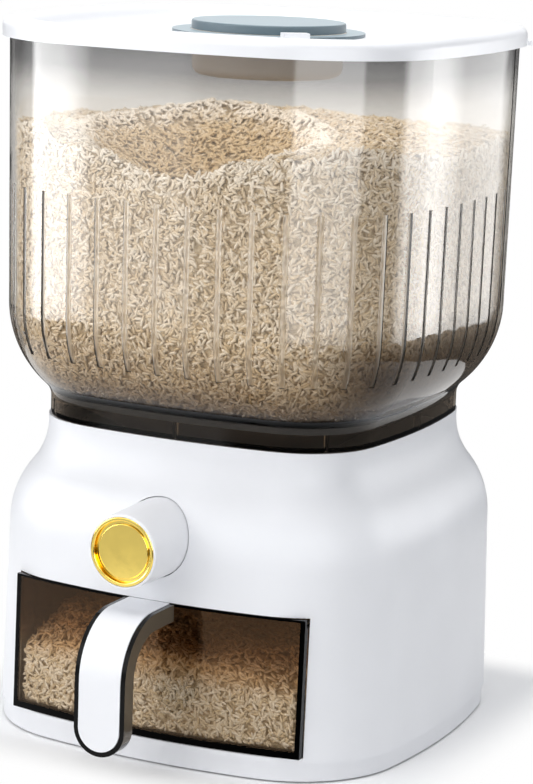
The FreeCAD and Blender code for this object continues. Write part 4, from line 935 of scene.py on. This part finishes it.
# Grains along the drawer's front, back, right and left.
side = random.choice(4, count, p=[0.3, 0.2, 0.25, 0.25])
across = random.uniform(-1, 1, count)
height = random.uniform(DRAWER_LOW.z + FIRST_GRAINS, DRAWER_WALL_TOP, count)
depth = random.uniform(*DRAWER_WALL_DEPTH, count)
half = DRAWER_HIGH.x - DRAWER_SIDE_INSET
x = np.select([side < 2, side == 2], [across * half, DRAWER_HIGH.x - depth], depth - DRAWER_HIGH.x)
front = front_of_drawer(x) + depth
middle = (DRAWER_HIGH.y + DRAWER_SIDE_FRONT) / 2
y = np.select(
    [side == 0, side == 1],
    [front, DRAWER_HIGH.y - depth],
    middle + across * (DRAWER_HIGH.y - DRAWER_SIDE_FRONT) / 2,
)
normals = np.array([(0, -1, 0), (0, 1, 0), (1, 0, 0), (-1, 0, 0)], float)[side]
below = height < drawer_level(x, y)
places = np.stack([x, y, height], axis=1)
pour("drawer_rice_walls", places[below], normals[below], random, WALL_TILT, "drawer")

# Studio ---------------------------------------------------------------------------------------------

WHITE = (1, 1, 1, 1)
FLOOR_RADIUS = 14.0
# Distance from the middle over which the floor turns into the white backdrop.
FLOOR_FADE = (0.122, 0.165)


def seen(tree):
    """1 for rays that see the backdrop, straight, mirrored or through clear plastic."""
    ray = put(tree, "ShaderNodeLightPath").outputs
    straight_or_mirrored = math_of(tree, "MAXIMUM", ray["Is Camera Ray"], ray["Is Glossy Ray"])
    return math_of(tree, "MAXIMUM", straight_or_mirrored, ray["Is Transmission Ray"])


def white_light(tree):
    """Plain white of strength 1."""
    return put(tree, "ShaderNodeEmission", {"Color": WHITE, "Strength": 1.0}).outputs["Emission"]


def backdrop_floor():
    """Pale floor that turns into the white backdrop away from the object."""
    bpy.ops.object.select_all(action="DESELECT")
    bpy.ops.mesh.primitive_circle_add(vertices=96, radius=FLOOR_RADIUS, fill_type="NGON")
    floor = bpy.context.active_object
    floor.name = "floor"
    material, tree = new_material("pale_studio_floor")
    across, along = (absolute(tree, coordinate(tree, "Object", axis)) for axis in "XY")
    far = ranged(tree, math_of(tree, "MAXIMUM", across, along), *FLOOR_FADE)
    factor = math_of(tree, "MULTIPLY", far, seen(tree))
    paper = put(tree, "ShaderNodeBsdfDiffuse", {"Color": linear("#F4F4F4")})
    finish_with(tree, mix_shaders(tree, factor, paper.outputs["BSDF"], white_light(tree)))
    floor.data.materials.append(material)


def studio_world():
    """Even, slightly cool light from all round; rays that see it see plain white."""
    world = bpy.data.worlds.new("studio")
    bpy.context.scene.world = world
    world.use_nodes = True
    tree = world.node_tree
    tree.nodes.clear()
    lit = put(tree, "ShaderNodeBackground", {"Color": linear("#F2F5FB"), "Strength": 0.38})
    white = put(tree, "ShaderNodeBackground", {"Color": WHITE, "Strength": 1.0})
    surface = mix_shaders(tree, seen(tree), lit.outputs["Background"], white.outputs["Background"])
    put(tree, "ShaderNodeOutputWorld", links={"Surface": surface})


# Walls of the studio that only reflections show: their radius and height, and from which height they are
# white.
SURROUND_RADIUS = 0.55
SURROUND_HEIGHT = 1.3
SURROUND_TOP = 0.43
# Their brightness by direction, in degrees from the right, anticlockwise seen from above: tall softboxes
# between dark stretches, which make the streaks and dark edges on clear plastic.
SURROUND = [
    (0, 0.10),
    (4, 0.20),
    (12, 6.2),
    (42, 6.2),
    (50, 2.6),
    (66, 2.2),
    (70, 0.05),
    (182, 0.05),
    (197, 1.2),
    (203, 10.0),
    (231, 10.0),
    (235, 2.3),
    (252, 1.8),
    (256, 0.60),
    (262, 0.30),
    (286, 0.30),
    (289, 4.2),
    (332, 4.2),
    (335, 0.10),
    (360, 0.10),
]
SURROUND_PEAK = 10.0
# Below the height at which the softboxes begin, over a short fade: one pale card, which the gold disc shows.
SURROUND_FOOT = 0.118
SURROUND_FADE = 0.010
SURROUND_LOW = [(0, 0.05), (230, 0.05), (233, 0.62), (257, 0.62), (260, 0.05), (360, 0.05)]


def wall_levels(tree, share, levels):
    """Brightness along the studio's walls, through (degrees, level) stops."""
    marks = [(degrees / 360, (level / SURROUND_PEAK,) * 3 + (1,)) for degrees, level in levels]
    return ramp_through(tree, share, marks)


def surround():
    """Dark walls and tall softboxes that only reflections show."""
    bpy.ops.object.select_all(action="DESELECT")
    bpy.ops.mesh.primitive_cylinder_add(
        vertices=180,
        radius=SURROUND_RADIUS,
        depth=SURROUND_HEIGHT,
        end_fill_type="NOTHING",
        location=(0, 0, SURROUND_HEIGHT / 2),
    )
    wall = bpy.context.active_object
    bpy.ops.object.transform_apply(location=True)
    wall.name = "studio_surround"
    material, tree = new_material("studio_walls")
    across, along, up = (coordinate(tree, "Object", axis) for axis in "XYZ")
    turns = math_with(tree, math_of(tree, "ARCTAN2", along, across), 1 / (2 * math.pi), "MULTIPLY")
    share = math_with(tree, turns, 1.0, "FLOORED_MODULO")
    upper, lower = (wall_levels(tree, share, levels) for levels in (SURROUND, SURROUND_LOW))
    rise = ranged(tree, up, SURROUND_FOOT, SURROUND_FOOT + SURROUND_FADE)
    colour = mixed(tree, rise, lower, upper)
    glow = put(tree, "ShaderNodeEmission", {"Strength": SURROUND_PEAK}, {"Color": colour})
    above = math_with(tree, up, SURROUND_TOP, "GREATER_THAN")
    finish_with(tree, mix_shaders(tree, above, glow.outputs["Emission"], white_light(tree)))
    wall.data.materials.append(material)
    wall.visible_camera = False
    wall.visible_diffuse = False
    wall.visible_transmission = False
    wall.visible_shadow = False


def softbox(name, place, target, width, height, power):
    """Rectangular lamp that points at its target; sizes in metres, power in watts."""
    light = bpy.data.lights.new(name, "AREA")
    light.shape = "RECTANGLE"
    light.size = width
    light.size_y = height
    light.energy = power
    lamp = bpy.data.objects.new(name, light)
    bpy.context.scene.collection.objects.link(lamp)
    lamp.location = place
    lamp.rotation_euler = (Vector(target) - Vector(place)).to_track_quat("-Z", "Y").to_euler()
    return lamp


def lights():
    """Key from the left front, top light, weak fill from the right, and a faint glow inside the hopper."""
    softbox("key_softbox", (-1.3, -2.05, 1.0), (0, 0, 0.2), 2.2, 1.6, 26.5)
    softbox("top_softbox", (0.05, -0.2, 2.15), (0, 0, 0.3), 1.6, 1.6, 30)
    softbox("fill_softbox", (2.0, -0.9, 0.9), (0, 0, 0.2), 1.2, 1.4, 3)
    glow = softbox("glow_under_lid", (0, 0, 0.354), (0, 0, 0), 0.17, 0.17, 0.07)
    glow.visible_camera = False
    glow.visible_glossy = False
    glow.visible_transmission = False


# Camera: its direction, place and lens, with the picture's size and the lens's middle in pixels.
CAMERA_TURN = math.radians(26.46)
CAMERA_TILT = math.radians(11.13)
CAMERA_ROLL = math.radians(1.81)
CAMERA_PLACE = (0.65519, -1.35450, 0.48213)
PICTURE = (533, 784)
FOCAL_PIXELS = 2754.54
PRINCIPAL = (226.45, 380.69)
SENSOR = 36.0


def camera():
    """Stands to the right of the front and slightly above, so that the object fills the frame."""
    data = bpy.data.cameras.new("camera")
    data.sensor_width = SENSOR
    data.lens = FOCAL_PIXELS / max(PICTURE) * SENSOR
    data.shift_x = (PICTURE[0] / 2 - PRINCIPAL[0]) / max(PICTURE)
    data.shift_y = (PRINCIPAL[1] - PICTURE[1] / 2) / max(PICTURE)
    data.clip_start = 0.05
    data.clip_end = 60
    turn, tilt = CAMERA_TURN, CAMERA_TILT
    back = Vector((math.sin(turn) * math.cos(tilt), -math.cos(turn) * math.cos(tilt), math.sin(tilt)))
    right = Vector((math.cos(turn), math.sin(turn), 0))
    up = back.cross(right)
    rolled_right = right * math.cos(CAMERA_ROLL) + up * math.sin(CAMERA_ROLL)
    rolled_up = back.cross(rolled_right)
    stand = bpy.data.objects.new("camera", data)
    bpy.context.scene.collection.objects.link(stand)
    axes = Matrix((rolled_right, rolled_up, back)).transposed().to_4x4()
    stand.matrix_world = Matrix.Translation(CAMERA_PLACE) @ axes
    bpy.context.scene.camera = stand


backdrop_floor()
studio_world()
surround()
lights()
camera()
scene = bpy.context.scene
scene.view_settings.view_transform = "Standard"
scene.cycles.transparent_max_bounces = 24
scene.cycles.max_bounces = 16
scene.cycles.transmission_bounces = 16
